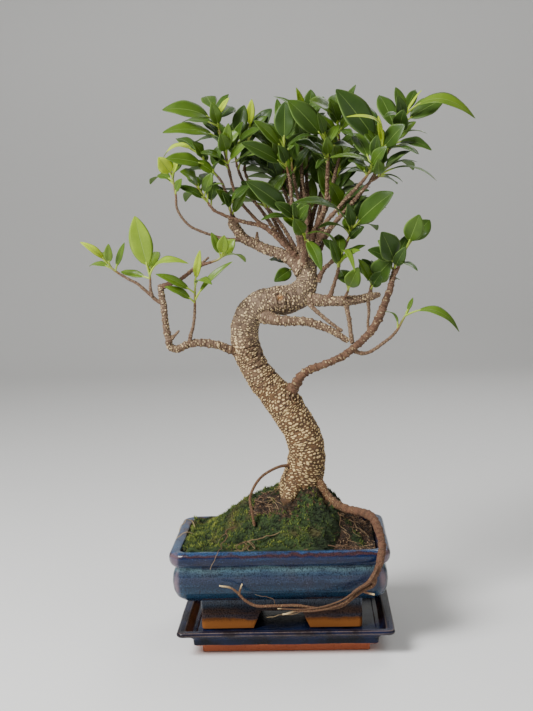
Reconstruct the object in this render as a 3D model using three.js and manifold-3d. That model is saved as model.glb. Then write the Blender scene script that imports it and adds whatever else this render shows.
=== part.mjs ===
// A fig bonsai in a glazed pot on its saucer. Millimetres, +Z up, +X to the right seen from the front (-Y).
// The origin is the centre of the saucer's underside. Each leafy shoot, with its leaves, is one solid.

import * as THREE from 'three';
import { mergeVertices } from 'three/addons/utils/BufferGeometryUtils.js';
import Module from 'manifold-3d';

const wasm = await Module();
wasm.setup();

// ---------------------------------------------------------------- driving dimensions

const GAP = 0.3; // between pieces that touch

const SAUCER = { width: 195, depth: 155, corner: 6, rim: 25, floor: 15.5 };
const POT = { x: -4, y: 8, width: 200, depth: 145, corner: 15, base: SAUCER.floor + GAP, rim: 93.5 };
const ARCH = { bottom: 52, top: 37, height: 16 }; // the notches in the pot's foot, front and back
const DRAIN_RADIUS = 6;
const CORNER_STEPS = 3; // straight pieces in each rounded corner

const SOIL_TOP = { edge: 88, crown: 136 }; // heights at the wall and at the trunk
const MOSS = { thickness: 9, edge: 0.8, share: 0.9, floor: 70, bareEnd: [46, 120] };

// Places on the tree are given as they line up in front view at the trunk's plane, then carried along
// the line of sight from EYE to their own depth.
const EYE = { x: 31, y: -1105, z: 384 };
const TRUNK_PLANE = 8;

const LEAF = {
  petiole: 0.2, // share of the leaf's length
  stalk: 1.7, // thickness of the petiole
  thickness: 1.3, // at the midrib, and none at the edges
  fold: 0.16, // how far the halves rise, as a share of the half width
  stations: [[0.34, 0.92], [0.7, 0.84]], // along the blade, and the share of its width there
  smallWidth: 9, // a narrower blade has one station, and is flat on top
  smallStations: [[0.5, 1]],
};
const TURN_STEP = 5; // degrees, by which a leaf turns away from what it would touch
const TURNS = 60;

// ---------------------------------------------------------------- solids and skins

function solidOf(geometry) {
  const bare = mergeVertices(geometry, 1e-4);
  return new wasm.Manifold(new wasm.Mesh({
    numProp: 3,
    vertProperties: Float32Array.from(bare.attributes.position.array),
    triVerts: Uint32Array.from(bare.index.array),
  }));
}

function geometryOf(solid) {
  const mesh = solid.getMesh();
  const geometry = new THREE.BufferGeometry();
  geometry.setAttribute('position', new THREE.BufferAttribute(mesh.vertProperties, 3));
  geometry.setIndex(new THREE.BufferAttribute(mesh.triVerts, 1));
  geometry.computeVertexNormals();
  return geometry;
}

// A closed skin over a row of rings that run counterclockwise about the way they are stacked.
// A ring of one point closes to a tip, and with loop the last ring joins the first.
function skin(rings, loop = false) {
  const points = rings.flat();
  const starts = rings.map((_, i) => rings.slice(0, i).reduce((sum, ring) => sum + ring.length, 0));
  const faces = [];
  const spans = loop ? rings.length : rings.length - 1;
  for (let i = 0; i < spans; i++) {
    const j = (i + 1) % rings.length;
    const count = Math.max(rings[i].length, rings[j].length);
    for (let k = 0; k < count; k++) {
      const a = starts[i] + (k % rings[i].length);
      const a2 = starts[i] + ((k + 1) % rings[i].length);
      const b = starts[j] + (k % rings[j].length);
      const b2 = starts[j] + ((k + 1) % rings[j].length);
      if (a !== a2) faces.push(a, a2, b2);
      if (b !== b2) faces.push(a, b2, b);
    }
  }
  if (!loop) {
    const last = rings.length - 1;
    for (let k = 1; k + 1 < rings[0].length; k++) faces.push(starts[0], starts[0] + k + 1, starts[0] + k);
    for (let k = 1; k + 1 < rings[last].length; k++) {
      faces.push(starts[last], starts[last] + k, starts[last] + k + 1);
    }
  }
  const geometry = new THREE.BufferGeometry().setFromPoints(points);
  geometry.setIndex(faces);
  return geometry;
}

function vector(x, y, z) {
  return new THREE.Vector3(x, y, z);
}

// The outline of a rectangle with rounded corners, at one height, counterclockwise from above.
function roundedRing(x, y, z, width, depth, corner) {
  const ring = [];
  for (let quarter = 0; quarter < 4; quarter++) {
    const sx = quarter === 0 || quarter === 3 ? 1 : -1;
    const sy = quarter < 2 ? 1 : -1;
    for (let step = 0; step <= CORNER_STEPS; step++) {
      const angle = (quarter + step / CORNER_STEPS) * Math.PI / 2;
      ring.push(vector(
        x + sx * (width / 2 - corner) + corner * Math.cos(angle),
        y + sy * (depth / 2 - corner) + corner * Math.sin(angle),
        z,
      ));
    }
  }
  return ring;
}

// A dish: the rounded rectangle carried up and down along a profile of [inset, height] points.
function dish(form, profile) {
  return skin(profile.map(([inset, z]) => roundedRing(
    form.x ?? 0,
    form.y ?? 0,
    z,
    form.width - 2 * inset,
    form.depth - 2 * inset,
    Math.max(form.corner - 0.6 * inset, 3),
  )));
}

// A prism of a shape drawn in front view, through y from one value to another.
function frontPrism(corners, from, to) {
  const shape = new THREE.Shape(corners.map(([x, z]) => new THREE.Vector2(x, z)));
  const geometry = new THREE.ExtrudeGeometry(shape, { depth: to - from, bevelEnabled: false });
  geometry.rotateX(Math.PI / 2);
  geometry.translate(0, to, 0);
  geometry.deleteAttribute('normal');
  geometry.deleteAttribute('uv');
  return geometry;
}

// ---------------------------------------------------------------- saucer and pot

function saucerSolid() {
  return solidOf(dish(SAUCER, [
    [22, 0], [21.5, 8], [14.5, 8.4], [14, 14], [9, 19.5], [1, 20.6], [0, 22.8], [1.2, 25], [7.6, 24.6],
    [9.5, 21], [12, 16.5], [16, SAUCER.floor],
  ]));
}

function potSolid() {
  const base = POT.base;
  const underside = base + 19;
  const body = solidOf(dish(POT, [
    [36, underside], [35.5, base], [26.2, base], [25.6, 44.6], [20, 45.2], [12, 47], [6.4, 51], [3.6, 57],
    [2.6, 65], [3.2, 72], [5.2, 77.6], [5.4, 79], [2.4, 80.6], [0.6, 84], [0, 89], [1.4, 92.4], [4.5, 93.5],
    [10, 93], [11.5, 90], [11.8, 60], [14, 51], [24, 47.5],
  ]));
  const arch = solidOf(frontPrism([
    [POT.x - ARCH.bottom / 2, base - 1],
    [POT.x + ARCH.bottom / 2, base - 1],
    [POT.x + ARCH.top / 2, base + ARCH.height],
    [POT.x - ARCH.top / 2, base + ARCH.height],
  ], POT.y - POT.depth, POT.y + POT.depth));
  const drain = new THREE.CylinderGeometry(DRAIN_RADIUS, DRAIN_RADIUS, 40, 16);
  drain.rotateX(Math.PI / 2);
  drain.translate(POT.x, POT.y, underside + 6);
  drain.deleteAttribute('normal');
  drain.deleteAttribute('uv');
  return body.subtract(arch).subtract(solidOf(drain));
}

// ---------------------------------------------------------------- soil and moss

// The middle of the mound, how far it reaches each way, and how sharply it falls.
const MOUND = { x: 14, y: 10, left: 100, right: 72, front: 63, back: 80, fall: 1.4 };
const MOUND_RINGS = [0.96, 0.66, 0.36];
const WALL_INSET = 12.1; // from the rim's outline to the soil at the wall
const CUT = 8; // off each corner of the soil
const SIDE_STOPS = [0, 0.35, 0.65, 1];

// The soil rises from the wall to the trunk in a bell, with a few soft hollows.
function soilHeight(x, y) {
  const across = (x - MOUND.x) / (x < MOUND.x ? MOUND.left : MOUND.right);
  const deep = (y - MOUND.y) / (y < MOUND.y ? MOUND.front : MOUND.back);
  const swell = Math.max(0, 1 - across * across - deep * deep);
  const hollows = 1.2 * Math.sin(x * 0.11 + 1) * Math.cos(y * 0.13) * swell;
  return SOIL_TOP.edge + (SOIL_TOP.crown - SOIL_TOP.edge) * swell ** MOUND.fall + hollows;
}

// The moss covers all but the right end, where the bare soil shows, and thins out to its edge.
function mossCover(x, y) {
  const bare = THREE.MathUtils.smoothstep(x - 0.25 * (y - MOUND.y), 34, 66);
  const rim = THREE.MathUtils.smoothstep(Math.hypot(x - MOUND.x, y - MOUND.y), 8, 26);
  const tufts = 1 + 0.16 * Math.sin(0.19 * x + 0.1 * y) + 0.12 * Math.cos(0.23 * y);
  return (1 - bare) * (0.55 + 0.45 * rim) * tufts;
}

// The inside of the pot at an inset from its rim: a rectangle with cut corners and stops along its sides.
function insideRing(inset, z) {
  const wide = POT.width / 2 - inset;
  const deep = POT.depth / 2 - inset;
  const sides = [
    [[wide, CUT - deep], [wide, deep - CUT]],
    [[wide - CUT, deep], [CUT - wide, deep]],
    [[-wide, deep - CUT], [-wide, CUT - deep]],
    [[CUT - wide, -deep], [wide - CUT, -deep]],
  ];
  return sides.flatMap(([start, end]) => SIDE_STOPS.map((share) => vector(
    POT.x + start[0] + (end[0] - start[0]) * share,
    POT.y + start[1] + (end[1] - start[1]) * share,
    z,
  )));
}

function moundRing(share, height) {
  return insideRing(WALL_INSET, 0).map((point) => {
    const x = MOUND.x + (point.x - MOUND.x) * share;
    const y = MOUND.y + (point.y - MOUND.y) * share;
    return vector(x, y, height(x, y));
  });
}

function soilSolid() {
  const low = [
    insideRing(26, 47.5 + GAP),
    insideRing(15, 51.5),
    insideRing(WALL_INSET, 60.5),
    insideRing(WALL_INSET, 86),
  ];
  const top = MOUND_RINGS.map((share) => moundRing(share, soilHeight));
  return solidOf(skin([...low, ...top, [vector(MOUND.x, MOUND.y, soilHeight(MOUND.x, MOUND.y))]]));
}

function mossSolid() {
  const upper = (x, y) => soilHeight(x, y) + GAP + MOSS.edge + MOSS.thickness * Math.max(0, mossCover(x, y));
  const over = [MOSS.share, ...MOUND_RINGS.slice(1)].map((share) => moundRing(share, upper));
  const floor = over[0].map(({ x, y }) => vector(x, y, MOSS.floor));
  const cushion = solidOf(skin([floor, ...over, [vector(MOUND.x, MOUND.y, upper(MOUND.x, MOUND.y))]]));
  const [left, right] = MOSS.bareEnd;
  const bareEnd = solidOf(frontPrism([[left, 60], [right, 60], [right, 140], [left, 140]], -right, right));
  return cushion.subtract(bareEnd).subtract(soilSolid().translate([0, 0, GAP]));
}

// ---------------------------------------------------------------- limbs

function seen(x, z, y) {
  const reach = (y - EYE.y) / (TRUNK_PLANE - EYE.y);
  return vector(EYE.x + (x - EYE.x) * reach, y, EYE.z + (z - EYE.z) * reach);
}

// The tree plane's x and z of a point in space: the way back from seen.
function unseen(point) {
  const reach = (point.y - EYE.y) / (TRUNK_PLANE - EYE.y);
  return [EYE.x + (point.x - EYE.x) / reach, EYE.z + (point.z - EYE.z) / reach, point.y];
}

// A limb's stops, one at each of its rows of [x, z, depth, diameter], with a frame carried without twist.
function limbPath(rows) {
  const points = rows.map(([x, z, y]) => seen(x, z, y));
  const last = rows.length - 1;
  let side = vector(0, 1, 0);
  return points.map((point, i) => {
    const tangent = points[Math.min(i + 1, last)].clone().sub(points[Math.max(i - 1, 0)]).normalize();
    side = side.clone().addScaledVector(tangent, -side.dot(tangent)).normalize();
    return { point, tangent, side, up: tangent.clone().cross(side), radius: rows[i][3] / 2 };
  });
}

function limbRing({ point, tangent, side, up, radius }, sides, grow = 0, shift = 0) {
  return Array.from({ length: sides }, (_, k) => {
    const angle = 2 * Math.PI * k / sides;
    return point.clone()
      .addScaledVector(tangent, shift)
      .addScaledVector(side, (radius + grow) * Math.cos(angle))
      .addScaledVector(up, (radius + grow) * Math.sin(angle));
  });
}

function sidesFor(rows) {
  const thickest = Math.max(...rows.map((row) => row[3]));
  if (thickest > 20) return 12;
  if (thickest > 8) return 6;
  return thickest > 4.6 ? 5 : 4;
}

// The stops that a thin limb needs: every other one, and its ends.
function fewer(stops, thin) {
  return thin ? stops.filter((_, i) => i % 2 === 0 || i === stops.length - 1) : stops;
}

function limbSolid(rows, grow = 0) {
  const sides = sidesFor(rows);
  const stops = fewer(limbPath(rows), sides < 5);
  const rings = stops.map((stop, i) => {
    const end = (i === stops.length - 1) - (i === 0);
    return limbRing(stop, sides, grow, end * grow);
  });
  return solidOf(skin(rings));
}

// Rows are [x, z, depth, diameter]. The trunk first, from inside the soil to the foot of the crown.
const TRUNK = [
  [12, 104, 8, 40], [13, 112, 8, 47], [14, 120, 8, 46], [15, 130, 8, 42.5], [17, 143, 8, 38],
  [20, 157, 8, 35.5], [22.2, 170, 7, 33.5], [20, 184, 7, 34.5], [16, 194, 7, 33], [11, 202, 7, 33.5],
  [5.7, 211, 8, 32], [-0.8, 220, 8, 31], [-8, 229, 9, 29], [-16, 238, 10, 28], [-22, 247, 10, 27],
  [-27, 257, 10, 26.5], [-31, 267, 9, 26], [-32.8, 279, 8, 25.5], [-32, 291, 7, 25], [-27, 303, 6, 25],
  [-17, 310.5, 6, 25.5], [-5, 313, 6, 26], [8, 314, 7, 27], [19, 319, 8, 25], [25.5, 328, 8, 20],
  [26.5, 341, 8, 18], [26.5, 356, 8, 18], [27, 370, 8, 13],
];

// The woody limbs that carry no leaves of their own: roots, stubs and the knobbly crown branch.
const BARE_LIMBS = [
  // root flare at the foot of the trunk
  [[11, 143, -4, 15], [5, 131, -12, 13], [-1, 120, -19, 9]],
  [[19, 145, -3, 15], [26, 131, -11, 12], [32, 120, -16, 8]],
  [[7, 145, 9, 15], [-6, 132, 11, 12], [-14, 120, 13, 8]],
  [[21, 147, 13, 16], [30, 132, 19, 13], [38, 120, 24, 8]],
  // thin root looping down at the left
  [[8, 157, 2, 3.6], [-2, 157, -5, 2.8], [-11, 153.5, -10, 2.6], [-21, 147, -15, 2.6], [-28, 138, -20, 2.6],
    [-32.5, 126, -25, 2.6], [-31, 114, -28, 2.6], [-29, 100, -30, 2.6]],
  // knobbly crown branch
  [[22, 343, 8, 14], [8, 354, 9, 11], [-2, 358, 10, 10], [-12, 361.5, 10, 10], [-20, 366, 9, 9.5],
    [-28, 370, 8, 9.5], [-33, 373.5, 7, 9.5], [-37, 380, 6, 9], [-41, 386, 5, 8.5], [-41.5, 391, 5, 6]],
  [[-19, 367, 8, 4], [-18.6, 377, 8, 2]],
  // long low branch at the left, up to its knuckle
  [[-24, 262, 10, 11], [-36, 265, 7, 8.5], [-45, 268, 4, 7.8], [-55, 272, 1, 7.2], [-65, 274.5, -2, 7.2],
    [-80, 275.5, -5, 6.8], [-88, 273.5, -7, 6.6], [-97, 270.3, -9, 6.6], [-102.5, 272.5, -10, 6.6],
    [-104.5, 280.5, -11, 6.1], [-106, 290.5, -12, 5.8], [-107, 301, -13, 5.6], [-107.5, 309, -13, 5.6],
    [-109, 320, -13, 5.6], [-110, 330.5, -13, 5.2]],
  [[-104, 279, -11, 4], [-99, 282.5, -12, 3], [-94, 287.5, -13, 1.8]],
  [[-79, 344, -12, 3], [-71, 349.5, -10, 2.4], [-64, 355, -8, 1.8]],
  // two short branches low at the right
  [[-15, 300, 2, 12], [-4, 295.5, -6, 9.5], [9, 294, -8, 8.5], [29, 292, -8, 7.8], [41, 287.5, -8, 7.2],
    [51, 282.5, -9, 6.4], [63, 274, -10, 4.6]],
  [[24, 315, 4, 5], [31, 306, 0, 4], [40, 297.5, -4, 3.6], [51, 288.5, -8, 3.2], [58, 283.5, -10, 2.6]],
  // upper right branch and the twigs that hang from it
  [[12, 315, 6, 15], [24, 314.5, 5, 12.5], [36, 313, 3, 11], [50, 311.5, 1, 9.6], [62, 311.5, 0, 9],
    [75, 312.5, -1, 8.2], [85, 315, -2, 7], [93.5, 316.5, -3, 4]],
  [[62, 311, 0, 4.8], [63.2, 302, -3, 4], [64.8, 293, -6, 4.2], [65.6, 284, -9, 4], [67, 272, -12, 4.4]],
  [[82.5, 312, -2, 3], [83, 300, -6, 2.6], [82, 290, -9, 2.6], [83, 280, -13, 3.2]],
];

// The thick root that leaves the trunk at the right and swings forward over the rim, and its strands, which
// sweep back to the left in front of the pot. These places are true ones.
const HANGING_ROOTS = [
  [[24, 151, 6, 13], [33.5, 141.5, -1, 11], [40, 131, -6, 9.4], [47.5, 125.3, -12, 8.8],
    [58.5, 121.3, -20, 8.6], [69.8, 120.8, -30, 8.6], [78.3, 120.5, -44, 8.6], [83.2, 116, -58, 8.4],
    [86, 108.5, -68, 8], [87, 99.4, -74, 7.8], [85.5, 90, -75.5, 7.6], [82.5, 80, -75.5, 6.8],
    [77, 69, -75, 5.2]],
  [[80, 76, -75.5, 4.4], [75, 69, -75.5, 3.8], [62, 60, -75, 3], [55, 52, -75, 2.8], [40, 46, -74, 2.8],
    [20, 43, -73.5, 2.8], [10, 43, -73, 2.4], [3, 40.5, -72.5, 2], [-2, 39.5, -72, 1.4]],
  [[80, 74, -75, 4.6], [79, 67, -75, 4], [70, 61, -73.5, 3.2], [62, 55, -72, 2.8], [52, 47, -71.5, 2.8],
    [35, 43.6, -70.5, 2.8], [10, 47, -70.5, 2.8], [-10, 47, -70.5, 2.6], [-27, 48, -71, 2.6],
    [-35, 53, -72, 2.4], [-41, 60, -73, 2.2], [-46.5, 64.8, -74, 1.8], [-57, 67.5, -75, 1.4]],
  [[-40, 58, -72.8, 2], [-39, 63, -73.4, 1.7], [-37, 68.5, -74, 1.2]],
  [[69, 60.5, -73.5, 2.4], [74, 58.5, -74.5, 1.8], [79.5, 57.5, -75.5, 1.6]],
];
for (const rows of HANGING_ROOTS) {
  BARE_LIMBS.push(rows.map(([x, z, y, diameter]) => [...unseen(vector(x, y, z)), diameter]));
}

// ---------------------------------------------------------------- shoots

// Each limb has rows of [x, z, depth, diameter]. From the row numbered green on it is a leafy shoot, a
// solid of its own. Leaves are [row that they stand at, tip x, tip z, tip depth, width, arch, face]:
// arch is the bow's height as a share of the length, and face is the blade's lean towards the front, in
// degrees from level.
const SHOOTS = {
  low_left_tip: {
    rows: [[-107.5, 313, -13, 3.4], [-113.5, 316, -14, 3.2], [-119.5, 321.5, -15, 3],
      [-126, 327.5, -16, 2.9], [-131, 332, -17, 2.7], [-140, 337, -18, 2.5], [-148, 342, -19, 2.3],
      [-154, 346.5, -20, 2.1], [-159, 352.5, -20, 1.7]],
    green: 6,
    leaves: [[8, -183.5, 372.5, -34, 7, 0.16, 60], [7.6, -157, 370, -36, 8, 0.05, 80],
      [7, -176, 350, 8, 8, 0.1, 40], [6.6, -142, 371, -30, 6, 0.04, 70], [7.2, -166, 362, 16, 8, 0.1, 30]],
  },
  low_left_big_leaf: {
    rows: [[-118, 320, -15, 3], [-119.5, 328, -17, 2.6], [-119.3, 335, -18, 2.1], [-119.5, 341, -18, 1.7]],
    green: 2,
    leaves: [[2.6, -131.5, 395, -30, 21, 0.04, 84], [2.8, -83, 350, -34, 9, 0.26, 40],
      [2.3, -147, 344, -6, 8, 0.05, 55], [2.8, -112, 362, 20, 12, 0.1, 60]],
  },
  low_left_pair: {
    rows: [[-110, 328, -13, 4.6], [-104, 331, -13, 3.6], [-95, 333, -13, 3.3], [-87, 338, -13, 3.3],
      [-79, 344, -12, 3.2], [-71, 348, -13, 2.8], [-62, 350.5, -14, 2.5], [-55, 353, -15, 2.1],
      [-51, 356, -16, 1.8]],
    green: 6,
    leaves: [[7.6, -61, 378, -28, 8, 0.08, 60], [7.8, -49, 375, -34, 11, 0.05, 84],
      [8, -39.5, 371, -22, 13, 0.1, 66], [7, -30, 350, 22, 13, 0.14, 20]],
  },
  low_left_upright: {
    rows: [[-85, 274, -6, 4], [-83.6, 282, -8, 3.4], [-81, 290, -9, 3], [-79.2, 301, -10, 2.8],
      [-78.5, 311, -11, 2.4], [-78, 322, -12, 2], [-77.5, 331, -12, 1.7]],
    green: 4,
    leaves: [[4.2, -106, 329, -26, 9, 0.1, 50], [5, -114, 341, -30, 9, 0.08, 55],
      [4.4, -42, 351, -20, 6.5, 0.12, 50], [6, -72, 362, -30, 7, 0.04, 76],
      [5.6, -62, 330, -48, 9, 0.16, 40]],
  },
  far_right: {
    rows: [[67, 266, -15, 4.4], [74, 262.5, -14, 3.6], [81, 262.5, -14, 3.3], [88, 266, -16, 3.1],
      [96, 271.5, -18, 3], [104, 277.6, -20, 2.8], [109, 283, -21, 2.5], [114, 292, -22, 2.2],
      [118, 299, -22, 1.7]],
    green: 6,
    leaves: [[8, 124, 313, -26, 4, 0.04, 70], [7.6, 166.5, 280, -30, 10.5, 0.33, 38],
      [6.1, 90.5, 296, -30, 5, 0.24, 8]],
  },
  long_right_end: {
    rows: [[6, 226, 6, 11], [13, 233.5, -2, 9], [18, 241, -8, 7.8], [24, 246.5, -10, 7.2],
      [33, 250, -12, 6.8], [47, 255, -14, 6.4], [59, 260.5, -15, 6.4], [69, 268, -16, 6.4],
      [79.5, 277, -16, 6.6], [87.5, 286, -16, 7], [94, 299, -16, 6.8], [99.5, 312, -15, 6],
      [103.5, 323, -14, 5.4], [106, 334, -14, 4.4], [107.5, 341, -14, 2.4], [108.5, 349, -14, 1.8]],
    green: 14,
    leaves: [[14.3, 96, 374, -42, 22, 0.06, 66], [14.5, 83, 358, -24, 15, 0.08, 50],
      [14.4, 131, 339, -40, 7.5, 0.12, 14], [14.7, 121, 371, 4, 10, 0.06, 60],
      [14.8, 102, 372, 26, 15, 0.08, 60]],
  },
  right_round_pair: {
    rows: [[106, 333, -14, 3.4], [110, 339, -15, 2.9], [113, 347, -16, 2.6], [116.5, 355, -17, 2.2],
      [120, 361, -18, 1.8]],
    green: 3,
    leaves: [[3.8, 131, 389, -34, 18, 0.05, 84], [3.9, 140.5, 384, -10, 17, 0.08, 66]],
  },
  right_low_round: {
    rows: [[60, 311, 0, 4], [62, 316, -6, 2.6], [64, 320, -10, 2.2], [64.6, 325, -12, 1.7]],
    green: 2,
    leaves: [[2.3, 74, 342, -44, 15, 0.06, 82], [2.6, 54, 340, 8, 14, 0.08, 60]],
  },
  right_low_dark: {
    rows: [[84, 314, -2, 5], [85, 319, 0, 3.4], [85.5, 324, 0, 2.6], [86, 330, 0, 1.8]],
    green: 2,
    leaves: [[2.5, 104, 347, -18, 22, 0.05, 64], [2.8, 78, 350, 6, 15, 0.07, 50],
      [2.6, 112, 330, 22, 14, 0.12, 30], [2.3, 82, 330, -30, 4, 0.05, 60]],
  },
  right_inner_low: {
    rows: [[45, 311, 2, 6], [48.5, 319, -1, 4], [51, 326, -4, 3.4], [54, 335, -7, 2.9],
      [56.5, 344, -9, 2.4], [57.5, 350, -10, 2]],
    green: 4,
    leaves: [[5, 27, 374.5, -50, 7, 0.2, 20], [4.3, 76, 358, -40, 8.5, 0.1, 56],
      [4.8, 79, 337, -44, 6.5, 0.36, 24], [4.9, 60, 372, 12, 13, 0.08, 50]],
  },
  right_inner_mid: {
    rows: [[36, 330, 6, 5], [42, 341, 5, 4], [50, 348, 4, 3.6], [57, 355, 3, 3.3], [62, 361.5, 2, 2.8],
      [65.5, 369, 0, 2.3], [69, 377, -1, 1.9], [71, 383, -2, 1.6]],
    green: 5,
    leaves: [[6, 107.5, 410, -34, 24, 0.05, 58], [5.7, 14.5, 403, -62, 15, 0.16, 40],
      [5.4, 37.5, 379.5, -30, 8.5, 0.16, 30], [7, 84, 405, -6, 13, 0.05, 60],
      [6.7, 56, 397, 34, 15, 0.1, 40], [6.2, 92, 376, 36, 16, 0.12, 24]],
  },
  right_top_main: {
    rows: [[31, 350, 6, 7], [39, 368, 0, 5], [50, 380, -6, 4.4], [60, 391, -10, 3.8], [70, 402, -14, 3.4],
      [79, 412, -18, 3.1], [86, 420, -21, 2.8], [92, 430, -23, 2.5], [96, 441, -24, 2.2],
      [98, 451, -24, 1.8]],
    green: 8,
    leaves: [[8.8, 57, 504.5, -40, 26, 0.04, 62], [8.9, 65.5, 479.5, -54, 6, 0.3, 40],
      [9, 95, 480, -40, 4.5, 0.04, 80], [8.6, 115, 472.5, -44, 18, 0.06, 60],
      [8.4, 130.5, 444, -48, 8.5, 0.16, 20], [8.8, 76, 492, 30, 17, 0.08, 50]],
  },
  right_fan: {
    rows: [[87, 421, -21, 2.8], [93, 424, -22, 2.4], [97, 428, -24, 2], [101, 432, -25, 1.7]],
    green: 1,
    leaves: [[1.6, 49.5, 443.5, -62, 8, 0.14, 40], [1.3, 147.5, 419.5, -34, 7, 0.2, 16],
      [2, 118, 444, -50, 12, 0.04, 30], [1.4, 116.5, 419, -16, 4.5, 0.14, 20],
      [2.4, 130, 437, -18, 5.5, 0.14, 16], [1.2, 113, 411, 6, 9, 0.06, 50],
      [2.8, 126, 430, 34, 16, 0.12, 20]],
  },
  right_mid: {
    rows: [[31, 352, 8, 6.4], [38, 368, 4, 5], [45, 384, -4, 4], [58, 398, -12, 3.6], [66, 407, -16, 3.3],
      [75, 416, -20, 3], [82, 423.5, -25, 2.6], [87, 431, -29, 2.1], [89.5, 440, -30, 1.7]],
    green: 6,
    leaves: [[7, 73, 448, -58, 12, 0.06, 55], [6.5, 66, 430, -56, 7, 0.06, 40],
      [8, 94, 462, -46, 10, 0.05, 60], [7.4, 72, 465, 10, 15, 0.08, 50]],
  },
  right_shoulder: {
    rows: [[92, 430, -23, 2.6], [98, 438, -14, 2.4], [104, 448, -10, 2.2], [110, 456, -10, 2],
      [115, 467, -12, 1.8], [118.5, 478, -14, 1.5]],
    green: 2,
    leaves: [[5, 183, 474.5, -30, 15.5, 0.32, 44], [4.4, 155, 492.5, -12, 19, 0.06, 56],
      [5, 111, 504.5, -24, 10, 0.05, 66], [5, 129, 502, 8, 10, 0.05, 60],
      [4.8, 134.5, 501.5, -30, 3.6, 0.04, 40], [4.5, 100, 478, -42, 8.5, 0.16, 44],
      [3.6, 118, 484, -44, 15, 0.06, 70], [3, 139.5, 462, -20, 5, 0.2, 12],
      [2.6, 143, 447, -36, 12, 0.16, 44], [2.3, 131.5, 443.5, 4, 9, 0.18, 30],
      [3.4, 96, 498, 16, 17, 0.08, 50]],
  },
  top_right: {
    rows: [[29, 362, 8, 6], [36, 380, 2, 4.6], [44, 396, -3, 4], [46.5, 410, -5, 3.5],
      [47.5, 428, -7, 3.1], [48.5, 441, -9, 2.6], [48, 452, -10, 2.1], [46.5, 462, -11, 1.6]],
    green: 5,
    leaves: [[6.5, 13, 496, -26, 23, 0.05, 60], [5.4, 11, 455, -46, 7.5, 0.26, 24],
      [5.2, 19, 458, -40, 16, 0.05, 52], [5, 37, 433.5, -42, 6.5, 0.1, 40],
      [7, 40, 484, -50, 8, 0.04, 76], [6, 74, 450, 4, 14, 0.12, 30]],
  },
  top_right_back: {
    rows: [[44, 394, -2, 4], [50, 408, 4, 3.6], [52.5, 420, 8, 3.3], [55.5, 432, 11, 3.1],
      [58.5, 444, 13, 2.8], [59, 455, 14, 2.5], [58.5, 465, 14, 2.1], [58, 474, 14, 1.7]],
    green: 6,
    leaves: [[6.8, 33, 495, -20, 22, 0.12, 50], [6.2, 71.5, 462, -36, 9, 0.05, 60],
      [6.4, 44, 462, 40, 16, 0.1, 40], [7, 75, 508, -6, 8, 0.06, 60], [6.6, 88, 480, 30, 16, 0.1, 40],
      [6.9, 56, 500, 46, 17, 0.08, 50]],
  },
  top_centre_pair: {
    rows: [[26, 362, 10, 6], [27.5, 378, 16, 4], [27.5, 392, 18, 3.5], [26, 410, 20, 3.2],
      [24, 430, 22, 3], [24, 448, 23, 2.7], [26, 462, 22, 2.3], [28, 476, 20, 1.8]],
    green: 6,
    leaves: [[7, 21, 507, 2, 7, 0.05, 50], [6.8, 46, 498, 10, 14, 0.08, 56],
      [6.4, 0, 500, 26, 8, 0.2, 20], [6.3, 40, 470, 62, 16, 0.12, 20], [6.6, 10, 476, 60, 16, 0.12, 24]],
  },
  top_centre_back: {
    rows: [[29, 364, 10, 5], [30.5, 380, 22, 3.8], [30, 398, 30, 3.3], [28.5, 416, 36, 3.1],
      [28.5, 434, 40, 2.9], [30, 452, 43, 2.6], [32, 466, 44, 2.2], [33, 478, 44, 1.7]],
    green: 6,
    leaves: [[7, 21, 500, 70, 17, 0.08, 40], [6.8, 52, 494, 64, 17, 0.1, 30],
      [6.5, 2, 466, 74, 17, 0.14, 16], [6.3, 66, 462, 74, 17, 0.14, 16], [6.9, 34, 505, 40, 14, 0.05, 60]],
  },
  centre_left: {
    rows: [[21, 360, 4, 5], [19, 377, -3, 3.4], [16, 392, -8, 3], [14, 405, -11, 2.8],
      [13.5, 418, -12, 2.6], [11.5, 430, -13, 2.4], [9.5, 440, -14, 2.1], [8.5, 449, -14, 1.8],
      [8.5, 458, -14, 1.5]],
    green: 5,
    leaves: [[5.6, -30.5, 459, -46, 16, 0.05, 64], [7, -18.5, 479, -30, 13, 0.06, 50],
      [7.6, 10, 494.5, -16, 19, 0.04, 80], [7.8, 3, 498, 10, 9, 0.04, 70]],
  },
  centre_right: {
    rows: [[23, 362, 12, 5], [23, 382, 18, 3.2], [21.5, 400, 20, 3], [19, 412, 21, 2.8],
      [17, 424, 20, 2.6], [15.4, 433, 18, 2.4], [15, 441, 16, 2.1], [15, 449, 14, 1.7]],
    green: 5,
    leaves: [[6, 21.5, 460, -24, 14, 0.05, 76], [6.6, -2, 474, 36, 16, 0.1, 40],
      [7, 30, 470, 30, 15, 0.1, 40]],
  },
  centre_front: {
    rows: [[24, 346, -1, 6], [24, 362, -9, 3.4], [22, 373, -16, 2.7], [19, 382, -22, 2.3],
      [16.5, 389.5, -26, 1.9]],
    green: 3,
    leaves: [[4, -27, 424, -56, 20, 0.05, 62], [3.3, 16, 404, -54, 5, 0.04, 76],
      [3.2, 26.5, 402, -46, 9, 0.06, 70], [3.6, -15, 388, -38, 9, 0.14, 30]],
  },
  centre_low_round: {
    rows: [[25.5, 350, -2, 4], [25.8, 359, -8, 2.6], [25.6, 366, -12, 2.2], [25.3, 372, -15, 1.8]],
    green: 2,
    leaves: [[2.9, 16, 395, -32, 13, 0.05, 82], [2.6, 40, 340, -46, 12, 0.16, 40]],
  },
  trunk_top_leaf: {
    rows: [[22, 326, 16, 4], [18, 334, 24, 2.6], [15, 341, 27, 2.2], [13, 346, 28, 1.7]],
    green: 2,
    leaves: [[2.4, -4, 331, 10, 13, 0.1, 80], [2.7, 18, 336, 52, 14, 0.12, 40],
      [2.8, -8, 352, 46, 13, 0.1, 30]],
  },
  inner_left: {
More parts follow.
